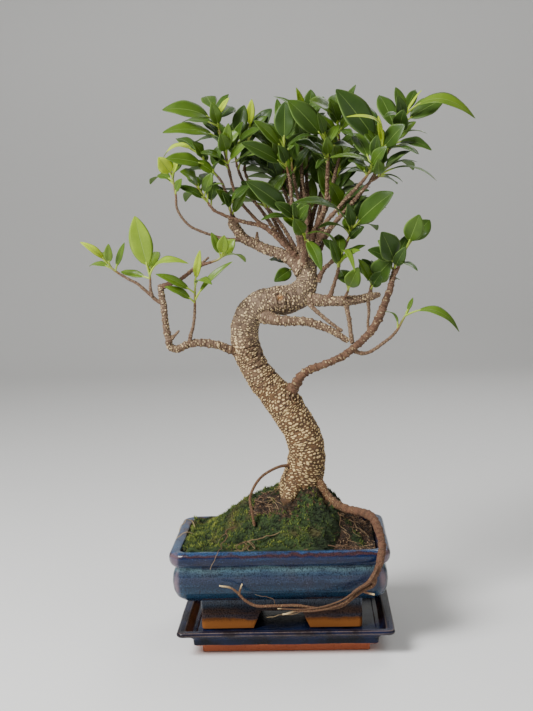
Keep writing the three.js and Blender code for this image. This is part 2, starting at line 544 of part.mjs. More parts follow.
    rows: [[18, 352, 8, 5], [9, 364, 8, 4], [0, 374.5, 9, 3.6], [-7, 386, 10, 3.2], [-13, 395.5, 10, 3],
      [-20, 405, 10, 2.9], [-26, 416, 10, 2.8], [-32, 428, 9, 2.5], [-35.5, 439, 8, 2.2],
      [-36.5, 450, 7, 1.8], [-36, 460, 6, 1.5]],
    green: 8,
    leaves: [[9, -29, 478, -26, 9.5, 0.06, 60], [8.3, -12, 449.5, -32, 14, 0.06, 50],
      [9.6, -13.5, 471, -12, 15, 0.06, 46], [9.9, -27, 493, 10, 14, 0.06, 66],
      [9.4, -66, 480, 30, 15, 0.1, 36]],
  },
  inner_left_back: {
    rows: [[16, 356, 12, 5], [8, 368, 16, 3.8], [0, 382, 20, 3.4], [-7, 396, 24, 3.1],
      [-15, 407, 27, 2.9], [-23, 420, 30, 2.7], [-28, 432, 32, 2.4], [-28, 444, 33, 2.1],
      [-25, 457, 32, 1.9], [-23, 470, 30, 1.6]],
    green: 7,
    leaves: [[7.4, -13.5, 439, -4, 7.5, 0.08, 50], [9, -20, 498, 20, 8, 0.04, 84],
      [8.7, -39, 477, 46, 17, 0.08, 40], [8.2, -2, 489, 30, 16, 0.06, 56],
      [7.8, -46, 452, 66, 16, 0.12, 20], [8.5, -10, 460, 70, 16, 0.12, 20]],
  },
  top_left: {
    rows: [[-9, 381, 0, 4], [-16, 385.5, -3, 3.4], [-24, 394, -5, 3], [-33, 405, -7, 2.8],
      [-38.5, 416, -8, 2.7], [-42, 430, -9, 2.5], [-45, 445, -10, 2.3], [-48, 460, -11, 2.1],
      [-51, 473, -12, 1.9], [-54, 486, -12, 1.6]],
    green: 7,
    leaves: [[8.3, -102.5, 491, -34, 19, 0.15, 54], [8.1, -84.5, 479.5, 20, 15, 0.08, 30],
      [7.1, -103, 470.5, -40, 15, 0.14, 50], [9, -62, 502, 30, 14, 0.06, 50],
      [8.7, -40.5, 500, -26, 5.5, 0.05, 70], [8.4, -38, 492, 24, 16, 0.06, 66],
      [7.3, -76, 458, 22, 14, 0.08, 36]],
  },
  top_left_low: {
    rows: [[-42, 430, -9, 2.5], [-43.5, 438, -14, 2.2], [-44.5, 445, -17, 2], [-44.6, 452, -18, 1.6]],
    green: 1,
    leaves: [[1.3, -68.5, 451, -38, 12, 0.08, 40], [2.4, -42, 477, -36, 9.5, 0.05, 80],
      [2.8, -58, 466, -36, 8, 0.08, 50]],
  },
  left_mid: {
    rows: [[-37, 386, 2, 3.6], [-42, 396, -4, 2.8], [-45.5, 410, -8, 2.6], [-50, 424, -12, 2.4],
      [-56, 432, -14, 2.2], [-62, 439, -16, 1.9], [-67.5, 447, -17, 1.6]],
    green: 4,
    leaves: [[5, -100.5, 447, -38, 15, 0.06, 60], [6, -104, 446, -8, 11, 0.34, 30],
      [4.3, -82, 436, 14, 11, 0.06, 40], [4.2, -52, 443, -36, 6, 0.06, 50],
      [5.4, -86, 462, 26, 13, 0.1, 30]],
  },
  left_knob_leaf: {
    rows: [[22, 350, 6, 6], [12, 359, 2, 5], [5, 366, 0, 4.4], [-4, 375, -2, 4], [-13, 382, -3, 3.8],
      [-23, 385, -4, 3.5], [-33, 387.5, -5, 3.2], [-42, 390.5, -7, 2.9], [-50, 394, -9, 2.7],
      [-58, 398.5, -11, 2.5], [-62, 403.5, -12, 2.3], [-66.5, 411, -14, 2], [-71, 418, -16, 1.7]],
    green: 10,
    leaves: [[12, -88, 434.5, -38, 17, 0.14, 50], [10.3, -47.5, 421.5, -30, 6, 0.28, 20],
      [11.2, -84, 407, 24, 13, 0.14, 20], [11.6, -60, 432, 28, 13, 0.1, 40]],
  },
  left_small: {
    rows: [[-41, 389, 3, 3], [-42, 394.5, -5, 2.4], [-43, 399, -11, 2], [-43.4, 403, -13, 1.6]],
    green: 1,
    leaves: [[2.4, -55.5, 417, -32, 10, 0.06, 60], [2.6, -37, 413, -28, 7, 0.05, 56]],
  },
  left_arm: {
    rows: [[-30, 370, 8, 4], [-38, 370.5, 3, 3.2], [-47, 371.5, -1, 2.7], [-58, 374.5, -4, 2.5],
      [-70, 379, -7, 2.4], [-80, 384, -10, 2.3], [-87.5, 392, -13, 2.3], [-92, 401, -15, 2.3],
      [-92.5, 412, -17, 2.1], [-94, 423, -18, 1.9], [-95.5, 431, -19, 1.6]],
    green: 8,
    leaves: [[10, -107.5, 448, -34, 14, 0.08, 76], [9.8, -85.5, 448, -34, 5, 0.06, 60],
      [9.4, -109, 432, -4, 9, 0.08, 50], [8.2, -86.5, 428, -28, 8, 0.08, 60],
      [9.6, -88, 444, 18, 12, 0.1, 40], [9, -116, 424, 24, 12, 0.14, 20]],
  },
};

// The back of the crown, and its sides: limbs rise from the top of the stem round to the back, and their
// leaves turn round them by the golden angle.
const BACK = {
  count: 11,
  golden: 137.508,
  firstAzimuth: 6,
  azimuthStep: 16.5,
  leavesEach: 4,
  stemHeights: [338, 368],
  reach: [28, 58],
  heights: [392, 452],
  leafLength: [40, 52],
  leafWidth: [15, 20],
  // shares of the way out and of the way up, and the diameter there
  rise: [
    [0, 0, 5], [0.22, 0.34, 3.8], [0.48, 0.64, 3.2], [0.74, 0.86, 2.7], [0.9, 0.96, 2.3], [1, 1.06, 1.7],
  ],
};

// A number from 0 to 1 that looks random but is always the same for the same two counts.
function chance(i, k) {
  const value = Math.sin(i * 12.9898 + k * 78.233) * 437.585453;
  return value - Math.floor(value);
}

function between([low, high], share) {
  return low + (high - low) * share;
}

function backShoot(i) {
  const azimuth = THREE.MathUtils.degToRad(BACK.firstAzimuth + BACK.azimuthStep * i);
  const out = vector(Math.cos(azimuth), Math.sin(azimuth), 0);
  const reach = between(BACK.reach, chance(i, 1));
  const height = between(BACK.heights, (i * 0.618) % 1);
  const foot = vector(26.5, 10, between(BACK.stemHeights, chance(i, 2))).addScaledVector(out, 5);
  const tip = vector(30, 12, 0).addScaledVector(out, reach).setZ(height);
  const rows = BACK.rise.map(([share, lift, diameter]) => {
    const point = foot.clone().lerp(tip, share).setZ(foot.z + (tip.z - foot.z) * lift);
    return [...unseen(point), diameter];
  });
  const leaves = [];
  for (let k = 0; k < BACK.leavesEach; k++) {
    const turn = azimuth + THREE.MathUtils.degToRad(BACK.golden * k + 40 * (chance(i, k + 20) - 0.5));
    const lean = 0.25 + 0.6 * chance(i, k + 30);
    const length = between(BACK.leafLength, chance(i, k + 40));
    const at = 3.9 + 0.27 * k;
    const way = vector(Math.cos(turn), Math.sin(turn), lean).addScaledVector(out, 0.9).normalize();
    const stand = foot.clone().lerp(tip, 0.74 + 0.06 * k);
    stand.setZ(foot.z + (tip.z - foot.z) * (0.86 + 0.05 * k));
    const end = stand.addScaledVector(way, length);
    const face = THREE.MathUtils.radToDeg(Math.atan2(-way.y, 1.2));
    leaves.push([at, ...unseen(end), between(BACK.leafWidth, chance(i, k + 50)), 0.12, face]);
  }
  return { rows, green: 4, leaves };
}

for (let i = 0; i < BACK.count; i++) SHOOTS[`back_${String(i + 1).padStart(2, '0')}`] = backShoot(i);

// ---------------------------------------------------------------- leaves

// A leaf from its foot to its tip: a stalk, then a blade folded a little along the midrib. The midrib
// bows by arch, and the blade's face leans by face degrees from level towards the front.
function leafSolid(foot, tip, width, arch, face, swell = 0, bladeOnly = false) {
  const chord = tip.clone().sub(foot);
  const length = chord.length();
  const along = chord.clone().normalize();
  const lean = THREE.MathUtils.degToRad(face);
  const hint = vector(0, -Math.sin(lean), Math.cos(lean));
  const side = along.clone().cross(hint).normalize();
  const normal = side.clone().cross(along);
  const small = width < LEAF.smallWidth;
  const bow = (t) => {
    return foot.clone().addScaledVector(chord, t).addScaledVector(normal, 4 * arch * length * t * (1 - t));
  };
  const ring = (t, half, fold, thick) => {
    const middle = bow(t);
    const raised = fold * half;
    const points = [
      middle.clone().addScaledVector(side, half).addScaledVector(normal, raised),
      middle.clone().addScaledVector(normal, -thick / 2),
      middle.clone().addScaledVector(side, -half).addScaledVector(normal, raised),
      middle.clone().addScaledVector(normal, thick / 2),
    ];
    return small ? points.slice(0, 3) : points;
  };
  const stalk = LEAF.stalk / 2 + swell;
  const rings = [ring(0, stalk, 0, 2 * stalk), ring(LEAF.petiole, stalk, 0, 2 * stalk)];
  for (const [at, share] of small ? LEAF.smallStations : LEAF.stations) {
    const t = LEAF.petiole + (1 - LEAF.petiole) * at;
    rings.push(ring(t, share * width / 2 + swell, LEAF.fold, LEAF.thickness + 2 * swell));
  }
  rings.push([bow(1).addScaledVector(along, swell)]);
  if (bladeOnly) rings.shift();
  return solidOf(skin(rings));
}

// The leaf's tip after the given number of turns, on a spiral round its first direction.
function turnedTip(foot, tip, turn) {
  if (turn === 0) return tip;
  const chord = tip.clone().sub(foot);
  const across = chord.clone().cross(vector(0.31, 0.17, 0.93)).normalize();
  const spin = THREE.MathUtils.degToRad(BACK.golden * turn);
  const tilt = THREE.MathUtils.degToRad(TURN_STEP * Math.sqrt(turn));
  across.applyAxisAngle(chord.clone().normalize(), spin);
  return foot.clone().add(chord.applyAxisAngle(across, tilt));
}

function apart(solid, others) {
  const box = solid.boundingBox();
  return others.every(({ solid: other, box: room }) => {
    for (let axis = 0; axis < 3; axis++) {
      if (box.min[axis] > room.max[axis] || box.max[axis] < room.min[axis]) return true;
    }
    return solid.intersect(other).isEmpty();
  });
}

// ---------------------------------------------------------------- the tree

function buildTree() {
  let trunk = limbSolid(TRUNK);
  for (const rows of BARE_LIMBS) trunk = trunk.add(limbSolid(rows));
  const stems = [];
  for (const [name, { rows, green, leaves }] of Object.entries(SHOOTS)) {
    const path = limbPath(rows);
    const sides = sidesFor(rows);
    const wood = fewer(path.slice(0, green + 1), sides < 6).map((stop) => limbRing(stop, sides));
    trunk = trunk.add(solidOf(skin(wood)));
    const greenRings = path.slice(green).map((stop, i) => limbRing(stop, 4, 0, i === 0 ? GAP : 0));
    stems.push({ name, path, green, leaves, solid: solidOf(skin(greenRings)) });
  }
  const placed = [{ name: 'trunk', solid: trunk, box: trunk.boundingBox() }];
  for (const { name, solid } of stems) placed.push({ name, solid, box: solid.boundingBox() });
  for (const stem of stems) {
    const own = placed.find((entry) => entry.name === stem.name);
    const others = placed.filter((entry) => entry !== own);
    const ownParts = [{ solid: own.solid, box: own.box }];
    for (const [at, x, z, y, width, arch, face] of stem.leaves) {
      const row = Math.min(Math.floor(at), stem.path.length - 2);
      const foot = stem.path[row].point.clone().lerp(stem.path[row + 1].point, at - row);
      const nominal = seen(x, z, y);
      for (let turn = 0; turn < TURNS; turn++) {
        const tip = turnedTip(foot, nominal, turn);
        const blade = leafSolid(foot, tip, width, arch, face, GAP, true);
        const whole = leafSolid(foot, tip, width, arch, face, GAP);
        if (!apart(blade, ownParts) || !apart(whole, others)) continue;
        own.solid = own.solid.add(leafSolid(foot, tip, width, arch, face));
        own.box = own.solid.boundingBox();
        ownParts.push({ solid: blade, box: blade.boundingBox() });
        break;
      }
    }
  }
  return placed;
}

// ---------------------------------------------------------------- the scene

const MATERIALS = {
  saucer: { color: 0x1d2c52, roughness: 0.22 },
  pot: { color: 0x2a4474, roughness: 0.2 },
  soil: { color: 0x33241a, roughness: 0.95 },
  moss: { color: 0x4d6420, roughness: 0.95 },
  trunk: { color: 0x8a7459, roughness: 0.85 },
  leaf: { color: 0x3d6426, roughness: 0.35 },
};

const group = new THREE.Group();

function place(name, solid, material) {
  const mesh = new THREE.Mesh(
    geometryOf(solid),
    new THREE.MeshStandardMaterial({ ...MATERIALS[material], metalness: 0 }),
  );
  mesh.name = name;
  group.add(mesh);
}

const tree = buildTree();

// The plain holes in soil and moss that the trunk and the roots stand in.
let holes = limbSolid(TRUNK.slice(0, 6), GAP);
for (const rows of BARE_LIMBS) holes = holes.add(limbSolid(rows, GAP));

place('saucer', saucerSolid(), 'saucer');
place('pot', potSolid(), 'pot');
place('soil', soilSolid().subtract(holes), 'soil');
place('moss', mossSolid().subtract(holes), 'moss');
for (const { name, solid } of tree) {
  if (name === 'trunk') place('trunk', solid, 'trunk');
  else place(`shoot_${name}`, solid, 'leaf');
}

export default group;
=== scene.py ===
"""A fig bonsai in a blue glazed pot on its saucer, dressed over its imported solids. Millimetres in the
lists below, metres in Blender; +Z up, and the front of the pot faces -Y."""

from math import atan2, cos, degrees, floor, pi, radians, sin

import bmesh
import bpy
import numpy as np
from bpy.props import FloatProperty, FloatVectorProperty, IntProperty, PointerProperty
from mathutils import Matrix


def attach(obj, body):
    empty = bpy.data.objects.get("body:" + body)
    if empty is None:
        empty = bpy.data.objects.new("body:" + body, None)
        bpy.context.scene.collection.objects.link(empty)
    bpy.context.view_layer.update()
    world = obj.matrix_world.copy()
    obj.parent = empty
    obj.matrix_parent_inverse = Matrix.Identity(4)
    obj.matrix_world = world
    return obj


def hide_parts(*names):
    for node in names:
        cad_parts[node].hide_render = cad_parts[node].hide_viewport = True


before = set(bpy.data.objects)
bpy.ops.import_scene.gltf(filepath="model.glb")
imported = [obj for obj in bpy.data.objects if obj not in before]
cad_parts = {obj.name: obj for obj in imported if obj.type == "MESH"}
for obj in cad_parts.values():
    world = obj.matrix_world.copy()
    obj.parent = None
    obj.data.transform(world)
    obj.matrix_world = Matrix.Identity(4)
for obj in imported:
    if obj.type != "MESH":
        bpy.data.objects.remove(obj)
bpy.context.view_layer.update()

bl_info = {
    "name": "Fig bonsai",
    "version": (1, 0, 0),
    "blender": (4, 5, 0),
    "location": "3D View > Sidebar > Bonsai",
    "description": "Makes the glazed pot, soil, moss, bark and leaves of a potted fig bonsai",
    "category": "Add Mesh",
}

MM = 0.001
GOLDEN = 137.508  # the golden angle in degrees
WELD = 2e-6  # points nearer than this, in metres, are made one
NO_DASH = 9.0  # the dash attribute where no corky dash is near

# ---------------------------------------------------------------- the forms of the solids

SAUCER = dict(x=0, y=0, width=195, depth=155, corner=6)
POT = dict(x=-4, y=8, width=200, depth=145, corner=15)
POT_BASE = 15.8  # the height of the saucer's floor, on which the pot's foot stands
ARCH = dict(bottom=52, top=37, height=16)
MOUND = dict(x=14, y=10, left=100, right=72, front=63, back=80, edge=88, crown=136, fall=1.4)
EYE = np.array((31.0, -1105.0, 384.0))  # where the places in the lists below were read from
TRUNK_PLANE = 8  # the depth at which a listed x and z are true
PETIOLE = 0.2  # a stalk's share of its leaf's length
FOLD = 0.16  # how far the halves of a blade rise from the midrib
TURN_STEP, TURNS = 5, 60  # the spiral on which a solid's leaf looked for room: its step and its length
FOUND = 0.05  # a solid's corner as near as this to a turned tip is that tip

# The camera stands in millimetres and is turned in degrees. The lamps stand in metres and look at AIM; the
# second number is their width, and the settings of the same names give their power.
CAMERA = dict(place=(30.9, -1105.0, 384.0), pan=-2.26, pitch=6.239, roll=1.597)
LIGHTS = {"key": ((-1.0, -1.0, 1.35), 0.7), "fill": ((1.3, -0.9, 0.8), 1.2), "back": ((0.6, 1.3, 1.4), 0.8)}
AIM = (0, 0, 0.28)
SKY, SKY_STRENGTH = (0.86, 0.84, 0.8, 1), 0.26

# The trunk, then the woody limbs without leaves of their own: rows of (x, z, depth, diameter).
TRUNK = [(12, 104, 8, 40), (13, 112, 8, 47), (14, 120, 8, 46), (15, 130, 8, 42.5), (17, 143, 8, 38),
    (20, 157, 8, 35.5), (22.2, 170, 7, 33.5), (20, 184, 7, 34.5), (16, 194, 7, 33), (11, 202, 7, 33.5),
    (5.7, 211, 8, 32), (-0.8, 220, 8, 31), (-8, 229, 9, 29), (-16, 238, 10, 28), (-22, 247, 10, 27),
    (-27, 257, 10, 26.5), (-31, 267, 9, 26), (-32.8, 279, 8, 25.5), (-32, 291, 7, 25), (-27, 303, 6, 25),
    (-17, 310.5, 6, 25.5), (-5, 313, 6, 26), (8, 314, 7, 27), (19, 319, 8, 25), (25.5, 328, 8, 20),
    (26.5, 341, 8, 18), (26.5, 356, 8, 18), (27, 370, 8, 13)]
BARE_LIMBS = [
    [(11, 143, -4, 15), (5, 131, -12, 13), (-1, 120, -19, 9)],
    [(19, 145, -3, 15), (26, 131, -11, 12), (32, 120, -16, 8)],
    [(7, 145, 9, 15), (-6, 132, 11, 12), (-14, 120, 13, 8)],
    [(21, 147, 13, 16), (30, 132, 19, 13), (38, 120, 24, 8)],
    [(8, 157, 2, 3.6), (-2, 157, -5, 2.8), (-11, 153.5, -10, 2.6), (-21, 147, -15, 2.6),
     (-28, 138, -20, 2.6), (-32.5, 126, -25, 2.6), (-31, 114, -28, 2.6), (-29, 100, -30, 2.6)],
    [(22, 343, 8, 14), (8, 354, 9, 11), (-2, 358, 10, 10), (-12, 361.5, 10, 10), (-20, 366, 9, 9.5),
     (-28, 370, 8, 9.5), (-33, 373.5, 7, 9.5), (-37, 380, 6, 9), (-41, 386, 5, 8.5), (-41.5, 391, 5, 6)],
    [(-19, 367, 8, 4), (-18.6, 377, 8, 2)],
    [(-24, 262, 10, 11), (-36, 265, 7, 8.5), (-45, 268, 4, 7.8), (-55, 272, 1, 7.2), (-65, 274.5, -2, 7.2),
     (-80, 275.5, -5, 6.8), (-88, 273.5, -7, 6.6), (-97, 270.3, -9, 6.6), (-102.5, 272.5, -10, 6.6),
     (-104.5, 280.5, -11, 6.1), (-106, 290.5, -12, 5.8), (-107, 301, -13, 5.6), (-107.5, 309, -13, 5.6),
     (-109, 320, -13, 5.6), (-110, 330.5, -13, 5.2)],
    [(-104, 279, -11, 4), (-99, 282.5, -12, 3), (-94, 287.5, -13, 1.8)],
    [(-79, 344, -12, 3), (-71, 349.5, -10, 2.4), (-64, 355, -8, 1.8)],
    [(-15, 300, 2, 12), (-4, 295.5, -6, 9.5), (9, 294, -8, 8.5), (29, 292, -8, 7.8), (41, 287.5, -8, 7.2),
     (51, 282.5, -9, 6.4), (63, 274, -10, 4.6)],
    [(24, 315, 4, 5), (31, 306, 0, 4), (40, 297.5, -4, 3.6), (51, 288.5, -8, 3.2), (58, 283.5, -10, 2.6)],
    [(12, 315, 6, 15), (24, 314.5, 5, 12.5), (36, 313, 3, 11), (50, 311.5, 1, 9.6), (62, 311.5, 0, 9),
     (75, 312.5, -1, 8.2), (85, 315, -2, 7), (93.5, 316.5, -3, 4)],
    [(62, 311, 0, 4.8), (63.2, 302, -3, 4), (64.8, 293, -6, 4.2), (65.6, 284, -9, 4), (67, 272, -12, 4.4)],
    [(82.5, 312, -2, 3), (83, 300, -6, 2.6), (82, 290, -9, 2.6), (83, 280, -13, 3.2)],
]
# The hanging root and its strands, in true places.
HANGING_ROOTS = [
    [(24, 151, 6, 13), (33.5, 141.5, -1, 11), (40, 131, -6, 9.4), (47.5, 125.3, -12, 8.8),
     (58.5, 121.3, -20, 8.6), (69.8, 120.8, -30, 8.6), (78.3, 120.5, -44, 8.6), (83.2, 116, -58, 8.4),
     (86, 108.5, -68, 8), (87, 99.4, -74, 7.8), (85.5, 90, -75.5, 7.6), (82.5, 80, -75.5, 6.8),
     (77, 69, -75, 5.2)],
    [(80, 76, -75.5, 4.4), (75, 69, -75.5, 3.8), (62, 60, -75, 3), (55, 52, -75, 2.8), (40, 46, -74, 2.8),
     (20, 43, -73.5, 2.8), (10, 43, -73, 2.4), (3, 40.5, -72.5, 2), (-2, 39.5, -72, 1.4)],
    [(80, 74, -75, 4.6), (79, 67, -75, 4), (70, 61, -73.5, 3.2), (62, 55, -72, 2.8), (52, 47, -71.5, 2.8),
     (35, 43.6, -70.5, 2.8), (10, 47, -70.5, 2.8), (-10, 47, -70.5, 2.6), (-27, 48, -71, 2.6),
     (-35, 53, -72, 2.4), (-41, 60, -73, 2.2), (-46.5, 64.8, -74, 1.8), (-57, 67.5, -75, 1.4)],
    [(-40, 58, -72.8, 2), (-39, 63, -73.4, 1.7), (-37, 68.5, -74, 1.2)],
    [(69, 60.5, -73.5, 2.4), (74, 58.5, -74.5, 1.8), (79.5, 57.5, -75.5, 1.6)],
]
